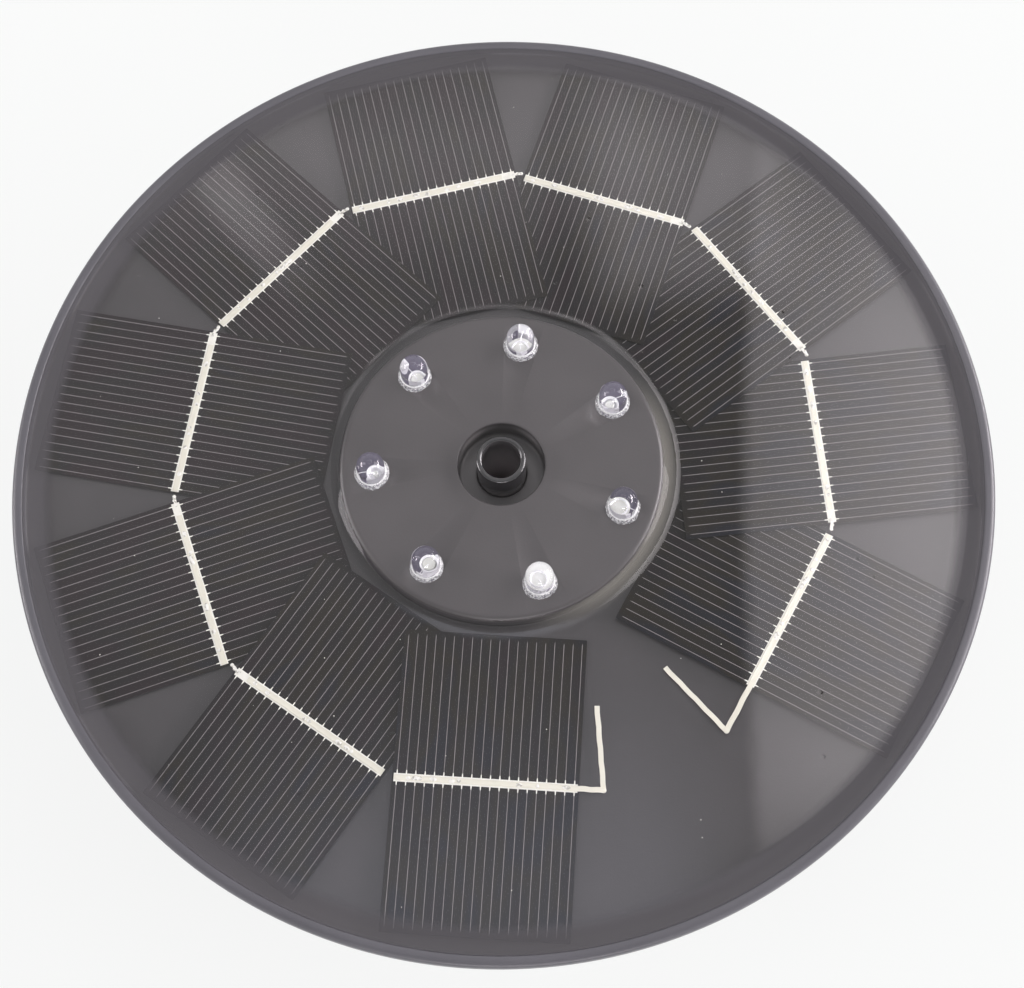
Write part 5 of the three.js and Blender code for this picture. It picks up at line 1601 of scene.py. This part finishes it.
# ---------- hull
@dataclass
class Hull(Assembly):
    """The lower shell that closes the float chamber, with its wells, posts and spigot."""

    wall: float = 2
    spigot_r: float = 36.06
    spigot_wall: float = 1.6
    spigot_l: float = 3.5
    riser_hole_r: float = 6.6
    floor_r: float = 76.5
    shoulder: float = 40.2
    tongue: Triple = (82.7, 81.3, 42.2)
    well_r: float = 3
    well_wall_r: float = 4.6
    screw_length: float = 6
    board: Triple = (44, 28, 39.8)
    board_inset: float = 3.5
    seal_floor: float = 33.1
    guide_top: float = 36.6
    guide_wall: float = 1.9
    boss_r: float = 3.2
    screw_end: float = 35.6

    def outline(self) -> Outline:
        """Returns: the section from the riser's hole out to the shoulder and back."""
        s = self.layout
        low, floor = s.hull_z, s.floor_z
        outer, inner, top = self.tongue
        spigot_in, foot = self.spigot_r - self.spigot_wall, low - self.spigot_l
        return rounded([
            (self.riser_hole_r, low, 0.3),
            (spigot_in, low, 0.2),
            (spigot_in, foot, 0.3),
            (self.spigot_r, foot, 0.4),
            (self.spigot_r, low, 0.2),
            (self.floor_r + 1.6, low, 3.0),
            (self.floor_r + 3.2, low + 1.8, 2.0),
            (s.skirt_r, self.shoulder - 1.3, 1.2),
            (s.skirt_r, self.shoulder, 0.25),
            (outer, self.shoulder, 0.1),
            (outer, top, 0.25),
            (inner, top, 0.25),
            (inner, self.shoulder - self.wall, 0.6),
            (self.floor_r + 1.5, floor + 0.8, 1.5),
            (self.floor_r, floor, 1.5),
            (self.riser_hole_r, floor, 0.3),
        ], steps=5)

    def added(self) -> list[Shape]:
        """Returns: the wells, bosses, posts, guide and ribs on the floor."""
        s = self.layout
        root = s.floor_z - BITE
        width, depth, level = self.board
        wall = rod(self.well_wall_r, root, s.well_top, 40, 0.3)
        shapes = spread(s.post_count, wall, s.post_circle_r)
        boss = rod(self.boss_r, root, self.screw_end + 2, 32, 0.3)
        shapes += [boss.at(x, y) for x, y in s.pump_screws]
        post = lathe([(0, root), (2.2, root), (2.2, level - s.gap), (1, level - s.gap),
                      (1, level + 2.4), (0.8, level + 2.6), (0, level + 2.6)], 24)
        across, along = width / 2 - self.board_inset, depth / 2 - self.board_inset
        for sx in (-1, 1):
            for sy in (-1, 1):
                shapes.append(post.at(sx * across, s.button_y + sy * along))
        guide = rod(s.button_flange_r + self.guide_wall, root, self.guide_top, 48, 0.2)
        shapes.append(guide.at(0, s.button_y))
        low, high = corners("battery_pack")
        rib = prism(rectangle(1.2, 12, 0.3, 2), root, s.floor_z + 3, 0.2)
        middle, clear = (low.y + high.y) / 2, 0.9
        shapes += [rib.at(low.x - clear, middle), rib.at(high.x + clear, middle)]
        shapes.append(rib.at(0, low.y - clear, 0, 90))
        return shapes

    def removed(self) -> list[Shape]:
        """Returns: the screw wells and holes, the lead's hole and the button's seat."""
        s = self.layout
        under, over = s.hull_z - PAST, s.floor_z + PAST
        r, mouth = self.well_r, self.well_r + 0.45
        well = lathe([(0, under), (mouth, under), (mouth, s.hull_z), (r, s.hull_z + 0.45),
                      (r, s.well_ceiling), (0, s.well_ceiling)], 32)
        hole = rod(s.pilot_r, s.hull_z, s.well_top + PAST, 24)
        shapes = spread(s.post_count, well, s.post_circle_r)
        shapes += spread(s.post_count, hole, s.post_circle_r)
        hole = rod(s.pilot_r, under, self.screw_end + s.gap, 24)
        shapes += [hole.at(x, y) for x, y in s.pump_screws]
        shapes.append(rod(s.lead_hole_r, under, over, 24).at(s.rotor_x, s.lead_y))
        r, flange, top = s.button_r + s.gap, s.button_flange_r + s.gap, self.guide_top + PAST
        seat = lathe([(0, under), (s.button_r + 0.8, under), (s.button_r + 0.8, s.hull_z),
                      (r, s.hull_z + 0.5), (r, self.seal_floor), (flange, self.seal_floor),
                      (flange, top), (0, top)], 64)
        shapes.append(seat.at(0, s.button_y))
        return shapes

    def build(self) -> None:
        """Makes the hull, its seal and its screws."""
        hull = carved("hull_shell", [lathe(self.outline(), 240), *self.added()], self.removed())
        dress(hull, Palette.hull.material())
        publish(hull, Body.DISC, "hull_plastic", "bottom_hull")
        dress_nodes({"hull_seal": Palette.seal})
        s = self.layout
        Screws(s, self.screw_length, s.post_count, s.post_circle_r, s.well_ceiling - s.gap).build()


@dataclass
class Screws(Assembly):
    """Cross-recessed pan-head screws that point up."""

    length: float
    count: int
    circle_r: float
    seat: float
    head_r: float = 2.4
    head_h: float = 1.7
    shank_r: float = 1.1
    thread_depth: float = 0.22
    thread_pitch: float = 0.5

    def model(self) -> Piece:
        """Returns: one screw, with the top of its head at z = 0."""
        domed = rounded([
            (0, -self.head_h, 0), (1.3, -self.head_h, 1.2), (self.head_r, -self.head_h * 0.5, 0.5),
            (self.head_r, 0, 0.1), (self.shank_r, 0, 0.1),
        ], steps=5)
        thread: Outline = []
        z, root = 0.3, self.shank_r - self.thread_depth
        while z < self.length - 1.3:
            thread += [(root, z), (self.shank_r, z + self.thread_depth), (root, z + 0.45)]
            z += self.thread_pitch
        outline = domed + thread + [(self.shank_r - 0.3, self.length - 1), (0, self.length)]
        arm = prism(rectangle(2.0, 0.5, 0.12, 2), -0.85, 0.85)
        depth = Matrix.Translation((0, 0, -self.head_h))
        arms = [arm.moved(depth), arm.at(turn=90).moved(depth)]
        return carved("screw_model", [lathe(outline, 32)], arms)

    def build(self) -> None:
        """Makes the ring of hull screws."""
        model = self.model()
        carrier = rod(0.5, 0, 1, 8).object("hull_screws")
        tree = ShapeTree("ring_of_screws")
        steel = tree.size("Steel", Palette.steel.material())
        spin = tree.node("ShaderNodeCombineXYZ", None, {"Z": tree.chance(0.0, 3.0, 5)})
        screws = tree.ring(model, self.count, self.circle_r, steel, 0, self.seat, Rotation=spin)
        tree.grow(carrier, screws)
        discard(model)
        publish(carrier, Body.DISC, "screw_steel", "hull_screw_1", "hull_screw_2", "hull_screw_3")


# ---------- pump
@dataclass
class Pump(Assembly):
    """The magnet-driven pump that hangs under the hull, with its riser and outlet tube."""

    radius: float = 14
    front: float = -8.5
    rear: float = 25
    volute: Pair = (-3.5, 4)
    volute_r: Pair = (9.6, 11.2)
    tongue: float = 25
    tube_r: float = 4.4
    bore_r: float = 3.45
    riser_r: float = 6.3
    riser_top: float = 40.6
    can_r: float = 7
    can_bore_r: float = 6.2
    can_end: float = 24.2
    can_bore_end: float = 21.5
    motor_r: float = 12
    motor_front: float = 6.5
    saddle: tuple[float, float, float, float] = (15.975, 23, 27.9, 30.5)
    cover_r: float = 12.2
    eye_r: float = 5.6
    seat_r: float = 2.25
    seat_depth: float = 1.95
    hub_end: float = -4.4
    screw_head: float = 27.6
    screw_length: float = 8
    screw_turn: float = 0.7
    lead_floor: float = 10.7

    def axial(self, radius: float, start: float, end: float, edge: float = 0, sides: int = 72) -> Shape:
        """Args: radius; start and end stations; edge rounding; sides. Returns: a rod along
        the rotor's axis."""
        return self.layout.on_rotor(rod(radius, start, end, sides, edge))

    def snail(self) -> Shape:
        """Returns: the volute's hollow, which widens from its tongue to its outlet."""
        start = math.radians(self.tongue)
        small, large = self.volute_r
        points, steps = [], 72
        for k in range(steps + 1):
            angle = start + (2 * math.pi - start) * k / steps
            r = small + (large - small) * k / steps
            points.append((r * math.cos(angle), -r * math.sin(angle)))
        return self.layout.on_rotor(prism(points, self.volute[0] - BITE, self.volute[1]))

    def tube(self) -> Shape:
        """Returns: the outlet tube with its rounded mouth."""
        top = self.layout.tube_top
        return lathe(rounded([(0, self.layout.rotor_z, 0), (self.tube_r, self.layout.rotor_z, 0),
                              (self.tube_r, top, 0.38), (0, top, 0)], steps=5), 96)

    def mouth(self) -> Shape:
        """Returns: the tube's bore, opened out at its mouth."""
        low, top = self.layout.rotor_z, self.layout.tube_top
        r = self.bore_r
        return lathe([(0, low), (r, low), (r, top - 0.4), (r + 0.08, top - 0.17),
                      (r + 0.25, top - 0.04), (r + 0.42, top), (r + 0.42, top + PAST),
                      (0, top + PAST)], 96)

    def plate(self) -> Shape:
        """Returns: the saddle plate that is screwed to the hull."""
        half, rear, low, high = self.saddle
        outline = rectangle(2 * half, rear - self.front, 3, 6)
        middle = (self.front + rear) / 2
        return prism(outline, low, high, 0.35).at(self.layout.rotor_x, middle)

    def body(self) -> Piece:
        """Returns: the pump's body."""
        s = self.layout
        low, high = self.saddle[2] - PAST, self.saddle[3] + PAST
        added = [
            self.axial(self.radius, self.front, self.rear, 0.35, 120),
            self.plate(),
            rod(self.riser_r, s.rotor_z, self.riser_top, 72, 0.25),
            self.tube(),
        ]
        holes = [rod(s.pilot_r, low, high, 24).at(x, y) for x, y in s.pump_screws]
        can = lathe([(self.can_r, self.motor_front), (self.motor_r, self.motor_front),
                     (self.motor_r, self.rear + PAST), (0, self.rear + PAST), (0, self.can_end),
                     (self.can_r, self.can_end)], 72)
        seat = self.can_bore_end
        removed = [
            self.axial(self.cover_r, self.front - PAST, self.volute[0]),
            self.snail(),
            self.mouth(),
            self.axial(self.can_bore_r, self.volute[1] - PAST, seat),
            self.axial(self.seat_r, seat - PAST, seat + self.seat_depth, 0, 32),
            s.on_rotor(can),
            *holes,
            rod(s.lead_hole_r, s.rotor_z + self.lead_floor, high, 24).at(s.rotor_x, s.lead_y),
        ]
        return carved("pump_housing", added, removed)

    def cover(self) -> Piece:
        """Returns: the front cover, whose spokes hold the shaft in the inlet eye."""
        out, into = self.front - 2.3, self.front - 0.3
        plug, end = self.cover_r - 0.3, self.volute[0] - 0.3
        groove, ring, wall = plug - 0.9, into + 1.5, 1.5
        outline = rounded([
            (self.eye_r, out, 0.5), (self.eye_r, end, 0.2), (plug, end, 0.2), (plug, ring + 1.3, 0.1),
            (groove, ring + 1.3, 0.1), (groove, ring, 0.1), (plug, ring, 0.1), (plug, into, 0.1),
            (self.radius, into, 0.25), (self.radius, out, 0.5), (groove - wall, out, 0.3),
            (groove - wall, end - 2, 0.3), (self.eye_r + wall, end - 2, 0.3),
            (self.eye_r + wall, out, 0.3),
        ])
        lay = self.layout.on_rotor
        spoke = prism([(2.7, -0.7), (6.35, -0.7), (6.35, 0.7), (2.7, 0.7)], out, self.hub_end, 0.2)
        added = [lay(lathe(outline, 96)), lay(rod(3.4, out, self.hub_end, 40, 0.3))]
        added += [lay(arm) for arm in spread(3, spoke, 0)]
        seat = rod(self.seat_r, self.hub_end - self.seat_depth, 0, 32)
        return carved("inlet_cover", added, [lay(seat)])

    def cap(self) -> Piece:
        """Returns: the motor's rear cap."""
        start, plug = self.rear + 0.3, self.motor_r - 0.3
        outline = rounded([
            (0, start, 0), (plug - 2, start, 0.3), (plug - 2, start - 3, 0.2), (plug, start - 3, 0.3),
            (plug, start, 0.1), (self.radius, start, 0.25), (self.radius, start + 2, 0.6),
            (self.radius - 3.5, start + 2, 0.2), (self.radius - 3.9, start + 1.6, 0.2),
            (0, start + 1.6, 0),
        ])
        return self.layout.on_rotor(lathe(outline, 96)).object("rear_cap")

    def build(self) -> None:
        """Makes the pump's housing, cover, cap and screws, and dresses its seals."""
        black = Palette.pump.material()
        for piece, node in ((self.body(), "pump_body"), (self.cover(), "pump_cover"),
                            (self.cap(), "motor_cap")):
            publish(dress(piece, black), Body.DISC, "pump_plastic", node)
        model = Screws(self.layout, self.screw_length, count=1, circle_r=0, seat=0).model()
        for number, (x, y) in enumerate(self.layout.pump_screws, 1):
            screw = model.copy()
            screw.data = model.data.copy()
            screw.name = f"saddle_screw_{number}"
            bpy.context.scene.collection.objects.link(screw)
            turn = Matrix.Rotation(number * self.screw_turn, 4, "Z")
            place = Matrix.Translation(Vector((x, y, self.screw_head)) * MM)
            screw.data.transform(place @ turn)
            publish(dress(screw, Palette.steel.material()), Body.DISC, "screw_steel",
                    f"pump_screw_{number}")
        discard(model)
        seals = ("cover_seal", "saddle_gasket", "tube_seal", "front_shaft_seat", "rear_shaft_seat")
        dress_nodes(dict.fromkeys(seals, Palette.seal))


@dataclass
class Motor(Assembly):
    """The rotor and the stator round its can, which keep their CAD shapes."""

    def build(self) -> None:
        """Dresses the rotor's and the stator's pieces."""
        dress_nodes({
            "impeller": Palette.impeller,
            "rotor_magnet": Palette.ferrite,
            "rotor_shaft": Palette.ceramic,
            "stator_core": Palette.laminations,
            "stator_winding": Palette.copper,
        })


# ---------- strainer
@dataclass
class Strainer(Assembly):
    """The slotted cup that clips over the pump and pulls off downwards."""

    radius: float = 38.06
    inner_r: float = 36.36
    corner_r: float = 3
    floor_t: float = 1.8
    top: float = 31.8
    wall_slots: int = 36
    floor_slots: int = 20
    slot_w: float = 2.2
    slot_low: float = 5
    slot_high: float = 23
    floor_in: float = 12
    floor_out: float = 31.06

    def cup(self) -> Shape:
        """Returns: the cup before its slots."""
        inside = self.corner_r - (self.radius - self.inner_r)
        return lathe(rounded([
            (0, 0, 0), (self.radius, 0, self.corner_r), (self.radius, self.top, 0.35),
            (self.inner_r, self.top, 0.35), (self.inner_r, self.floor_t, inside), (0, self.floor_t, 0),
        ], steps=8), 216)

    def wall_cutter(self) -> Shape:
        """Returns: a round-ended slot through the wall, drawn along +X."""
        height = self.slot_high - self.slot_low
        outline = rectangle(height, self.slot_w, self.slot_w / 2 - 0.01, 6)
        lift = Matrix.Translation((0, 0, (self.slot_low + self.slot_high) / 2))
        upright = lift @ Matrix.Rotation(-math.pi / 2, 4, "Y")
        return prism(outline, -3, 3).moved(upright)

    def floor_cutter(self) -> Shape:
        """Returns: a round-ended slot through the floor, drawn along +X."""
        length = self.floor_out - self.floor_in
        outline = rectangle(length, self.slot_w, self.slot_w / 2 - 0.01, 6)
        return prism(outline, -PAST, self.floor_t + PAST)

    def build(self) -> None:
        """Cuts both rings of slots with one tree."""
        cage = self.cup().object("strainer_basket")
        upright = self.wall_cutter().object("wall_slot_model")
        flat = self.floor_cutter().object("floor_slot_model")
        tree = ShapeTree("strainer_slots")
        plastic = tree.size("Plastic", Palette.cage.material())
        body = tree.coat(tree.given, plastic)
        for model, count, radius, first in (
            (upright, self.wall_slots, (self.radius + self.inner_r) / 2, 0),
            (flat, self.floor_slots, (self.floor_in + self.floor_out) / 2, math.pi / self.floor_slots),
        ):
            ring = tree.ring(model, count, radius, plastic, first, Rotation=tree.outward())
            body = tree.cut(body, ring)
        tree.grow(cage, body)
        discard(upright, flat)
        dress(cage, Palette.cage.material())
        publish(cage, Body.STRAINER, "cage_plastic", "strainer_cage")


# ---------- electrics
@dataclass
class Electrics(Assembly):
    """The battery, control board, switch, button and leads."""

    face: float = 31.3
    flange_z: float = 34.4
    stem_r: float = 0.9
    stem_top: float = 36.75

    def button(self) -> Shape:
        """Returns: the rubber button, with a thumb hollow in its face."""
        r, flange, stem = self.layout.button_r, self.layout.button_flange_r, self.stem_r
        low, high = self.flange_z, self.flange_z + 1
        hollow = [(0, self.face + 0.35), (1.5, self.face + 0.3), (2.8, self.face + 0.14)]
        return lathe(hollow + rounded([
            (3.6, self.face, 0.3), (r, self.face, 0.45), (r, low, 0.1), (flange, low, 0.15),
            (flange, high, 0.2), (stem, high, 0.15), (stem, self.stem_top, 0.2),
        ], steps=4) + [(0, self.stem_top)], 64).at(0, self.layout.button_y)

    def build(self) -> None:
        """Makes the button and dresses the electrics."""
        button = self.button().object("button_cap", Palette.button.material())
        publish(button, Body.BUTTON, "button_rubber", "power_button")
        dress_nodes({
            "battery_pack": Palette.wrap,
            "control_board": Palette.board,
            "push_switch": Palette.white,
            "button_seal": Palette.seal,
            "motor_lead": Palette.jacket,
            "battery_lead": Palette.jacket,
        })


# ---------- studio
@dataclass(frozen=True)
class Lamp:
    """A soft window of light that the camera doesn't see, with its sizes in metres."""

    name: str
    place: Triple
    size: Pair
    glow: float
    soft: tuple[float, ...] = (0.05, 0.05, 0.05, 0.05)
    """The shares that fade out at its left, right, low and high ends."""
    lean: float = 0
    """The share by which its right end is brighter than its left."""
    turn: float = 0
    """Degrees about the vertical."""
    aim: Optional[Triple] = None
    """The spot that it faces, or none where it faces straight down."""
    tint: Colour = (1.0, 0.945, 0.97)

    def build(self) -> Piece:
        """Returns: the lamp."""
        data = bpy.data.lights.new(self.name, "AREA")
        data.shape = "RECTANGLE"
        data.size, data.size_y = self.size
        data.energy = self.glow * self.size[0] * self.size[1] * math.pi
        s = Shader(self.name, data)
        across, along, _ = s.parts(s.node("ShaderNodeNewGeometry", output="Parametric"))
        strength = 1 + self.lean * (across - 0.5)
        for way, low, high in ((across, *self.soft[:2]), (along, *self.soft[2:])):
            strength = strength * s.fade(way, 0, low) * s.fade(way, 1 - high, 1, 1, 0)
        inputs = {"Color": (*self.tint, 1), "Strength": strength}
        s.finish(s.node("ShaderNodeEmission", None, inputs), "Light")
        lamp = bpy.data.objects.new(self.name, data)
        lamp.location = self.place
        ahead = Vector(self.aim or (*self.place[:2], 0)) - Vector(self.place)
        spin = Quaternion(UP, math.radians(self.turn))
        lamp.rotation_mode = "QUATERNION"
        lamp.rotation_quaternion = spin @ ahead.to_track_quat("-Z", "Y")
        lamp.visible_camera = False
        bpy.context.scene.collection.objects.link(lamp)
        return lamp


@dataclass
class Studio:
    """The camera, the lamps, the pale floor and the white surroundings."""

    eye: Triple = (1.58, -124.17, 383.8)
    right: Triple = (0.99826, -0.05567, -0.01969)
    upward: Triple = (0.05905, 0.94114, 0.33281)
    lens: float = 70.71
    sensor: float = 36
    floor_z: float = -0.02
    floor_width: float = 6000
    floor_shade: Colour = (0.13, 0.139, 0.133)
    floor_glow: float = 0.828
    white: float = 0.956
    sky: float = 0.5
    ceiling: Pair = (0.35, 0.8)
    middle: Triple = (0, 0, 0.04)
    cool: Colour = (0.93, 0.945, 1.1)

    def camera(self) -> None:
        """Makes the camera and assigns it."""
        data = bpy.data.cameras.new("camera")
        data.lens = self.lens
        data.sensor_width = self.sensor
        data.clip_start = 0.01
        data.dof.use_dof = False
        camera = bpy.data.objects.new("camera", data)
        right = Vector(self.right)
        upward = Vector(self.upward)
        back = right.cross(upward)
        turn = Matrix((right, upward, back)).transposed().to_4x4()
        camera.matrix_world = Matrix.Translation(Vector(self.eye) * MM) @ turn
        bpy.context.scene.collection.objects.link(camera)
        bpy.context.scene.camera = camera

    def lamps(self) -> None:
        """Makes the windows overhead, the low lamps, and the cards that only show in gloss."""
        aim = self.middle
        for lamp in (
            Lamp("right_window", (0.2427, 0.44, 1), (0.152, 0.84), 2.75, (0.1, 0.12, 0.14, 0.56),
                 lean=1, turn=-5.3),
            Lamp("middle_window", (0.1428, 0.5755, 1.02), (0.194, 0.233), 1.5, (0.3, 0.35, 0.25, 0.5)),
            Lamp("far_window", (-0.13, 0.67, 1.04), (0.66, 0.32), 0.88, (0.12, 0.2, 0.35, 0.35),
                 lean=0.6),
            Lamp("narrow_window", (-0.182, 0.58, 1.06), (0.055, 0.19), 1.25, (0.4, 0.4, 0.55, 0.4),
                 turn=32.6),
            Lamp("near_window", (-0.2, 0.37, 0.97), (0.52, 0.54), 0.42, (0.08, 0.1, 0.45, 0.12)),
            Lamp("front_window", (-0.066, 0.0705, 0.94), (0.42, 0.305), 0.85, (0.3, 0.2, 0.2, 0.6),
                 tint=self.cool),
            Lamp("low_right", (1.15, 0.15, 0.42), (1.2, 0.26), 17, aim=aim),
            Lamp("low_left", (-1.15, 0.15, 0.42), (0.6, 0.2), 14, aim=aim),
            Lamp("low_front", (0, -1.2, 0.3), (0.8, 0.08), 20, aim=aim),
        ):
            lamp.build()
        for card in (Lamp("right_card", (0.95, 0.2, 0.7), (0.42, 1.0), 4.5, aim=aim),
                     Lamp("left_card", (-0.95, 0.2, 0.7), (0.34, 1.0), 3, aim=aim)):
            card.build().visible_diffuse = False

    def floor(self) -> None:
        """Makes the pale floor, which shows white and keeps the object's shadow."""
        s = Shader("studio_floor")
        fine = s.noise(s.place(), 40, 3)
        pale = s.blend(fine, (0.84, 0.84, 0.845), (0.87, 0.868, 0.872))
        glow = s.node("ShaderNodeEmission", None, {"Color": (1, 1, 1, 1), "Strength": self.floor_glow})
        shown = s.node("ShaderNodeAddShader", None, {0: s.matt(self.floor_shade), 1: glow})
        below = s.node("ShaderNodeNewGeometry", output="Backfacing") * s.ray("Camera")
        above = s.mixed(s.ray(*SEEN), s.matt(pale), shown)
        material = s.finish(s.mixed(below, above, s.clear()))
        sheet = Shape()
        outline = rectangle(self.floor_width, self.floor_width, 500, 8)
        sheet.face([sheet.point(a, b, self.floor_z) for a, b in outline])
        sheet.object("floor", material)

    def surroundings(self) -> None:
        """Makes the world: soft light, and white where it is seen, save high overhead."""
        world = bpy.data.worlds.new("surroundings")
        s = Shader("surroundings", world)
        soft, white = (
            s.node("ShaderNodeBackground", None, {"Color": (1, 1, 1, 1), "Strength": strength})
            for strength in (self.sky, self.white)
        )
        _, _, height = s.parts(s.node("ShaderNodeTexCoord", output="Generated"))
        shown = s.ray("Camera").most(s.ray(*SEEN) * s.fade(height, *self.ceiling, 1, 0))
        s.finish(s.mixed(shown, soft, white), "World")
        bpy.context.scene.world = world

    def build(self) -> None:
        """Makes the studio."""
        self.camera()
        self.floor()
        self.surroundings()
        self.lamps()
        bpy.context.scene.view_settings.view_transform = "Standard"


def main() -> None:
    """Builds every sub-assembly in order, then the studio."""
    logging.basicConfig(level=logging.INFO, format="%(name)s: %(message)s")
    layout = Layout.measured()
    for kind in (Tray, SolarRing, Resin, Leds, Hull, Pump, Motor, Strainer, Electrics):
        LOG.info("building %s", kind.__name__)
        kind(layout).build()
    Studio().build()


if __name__ == "__main__":
    main()
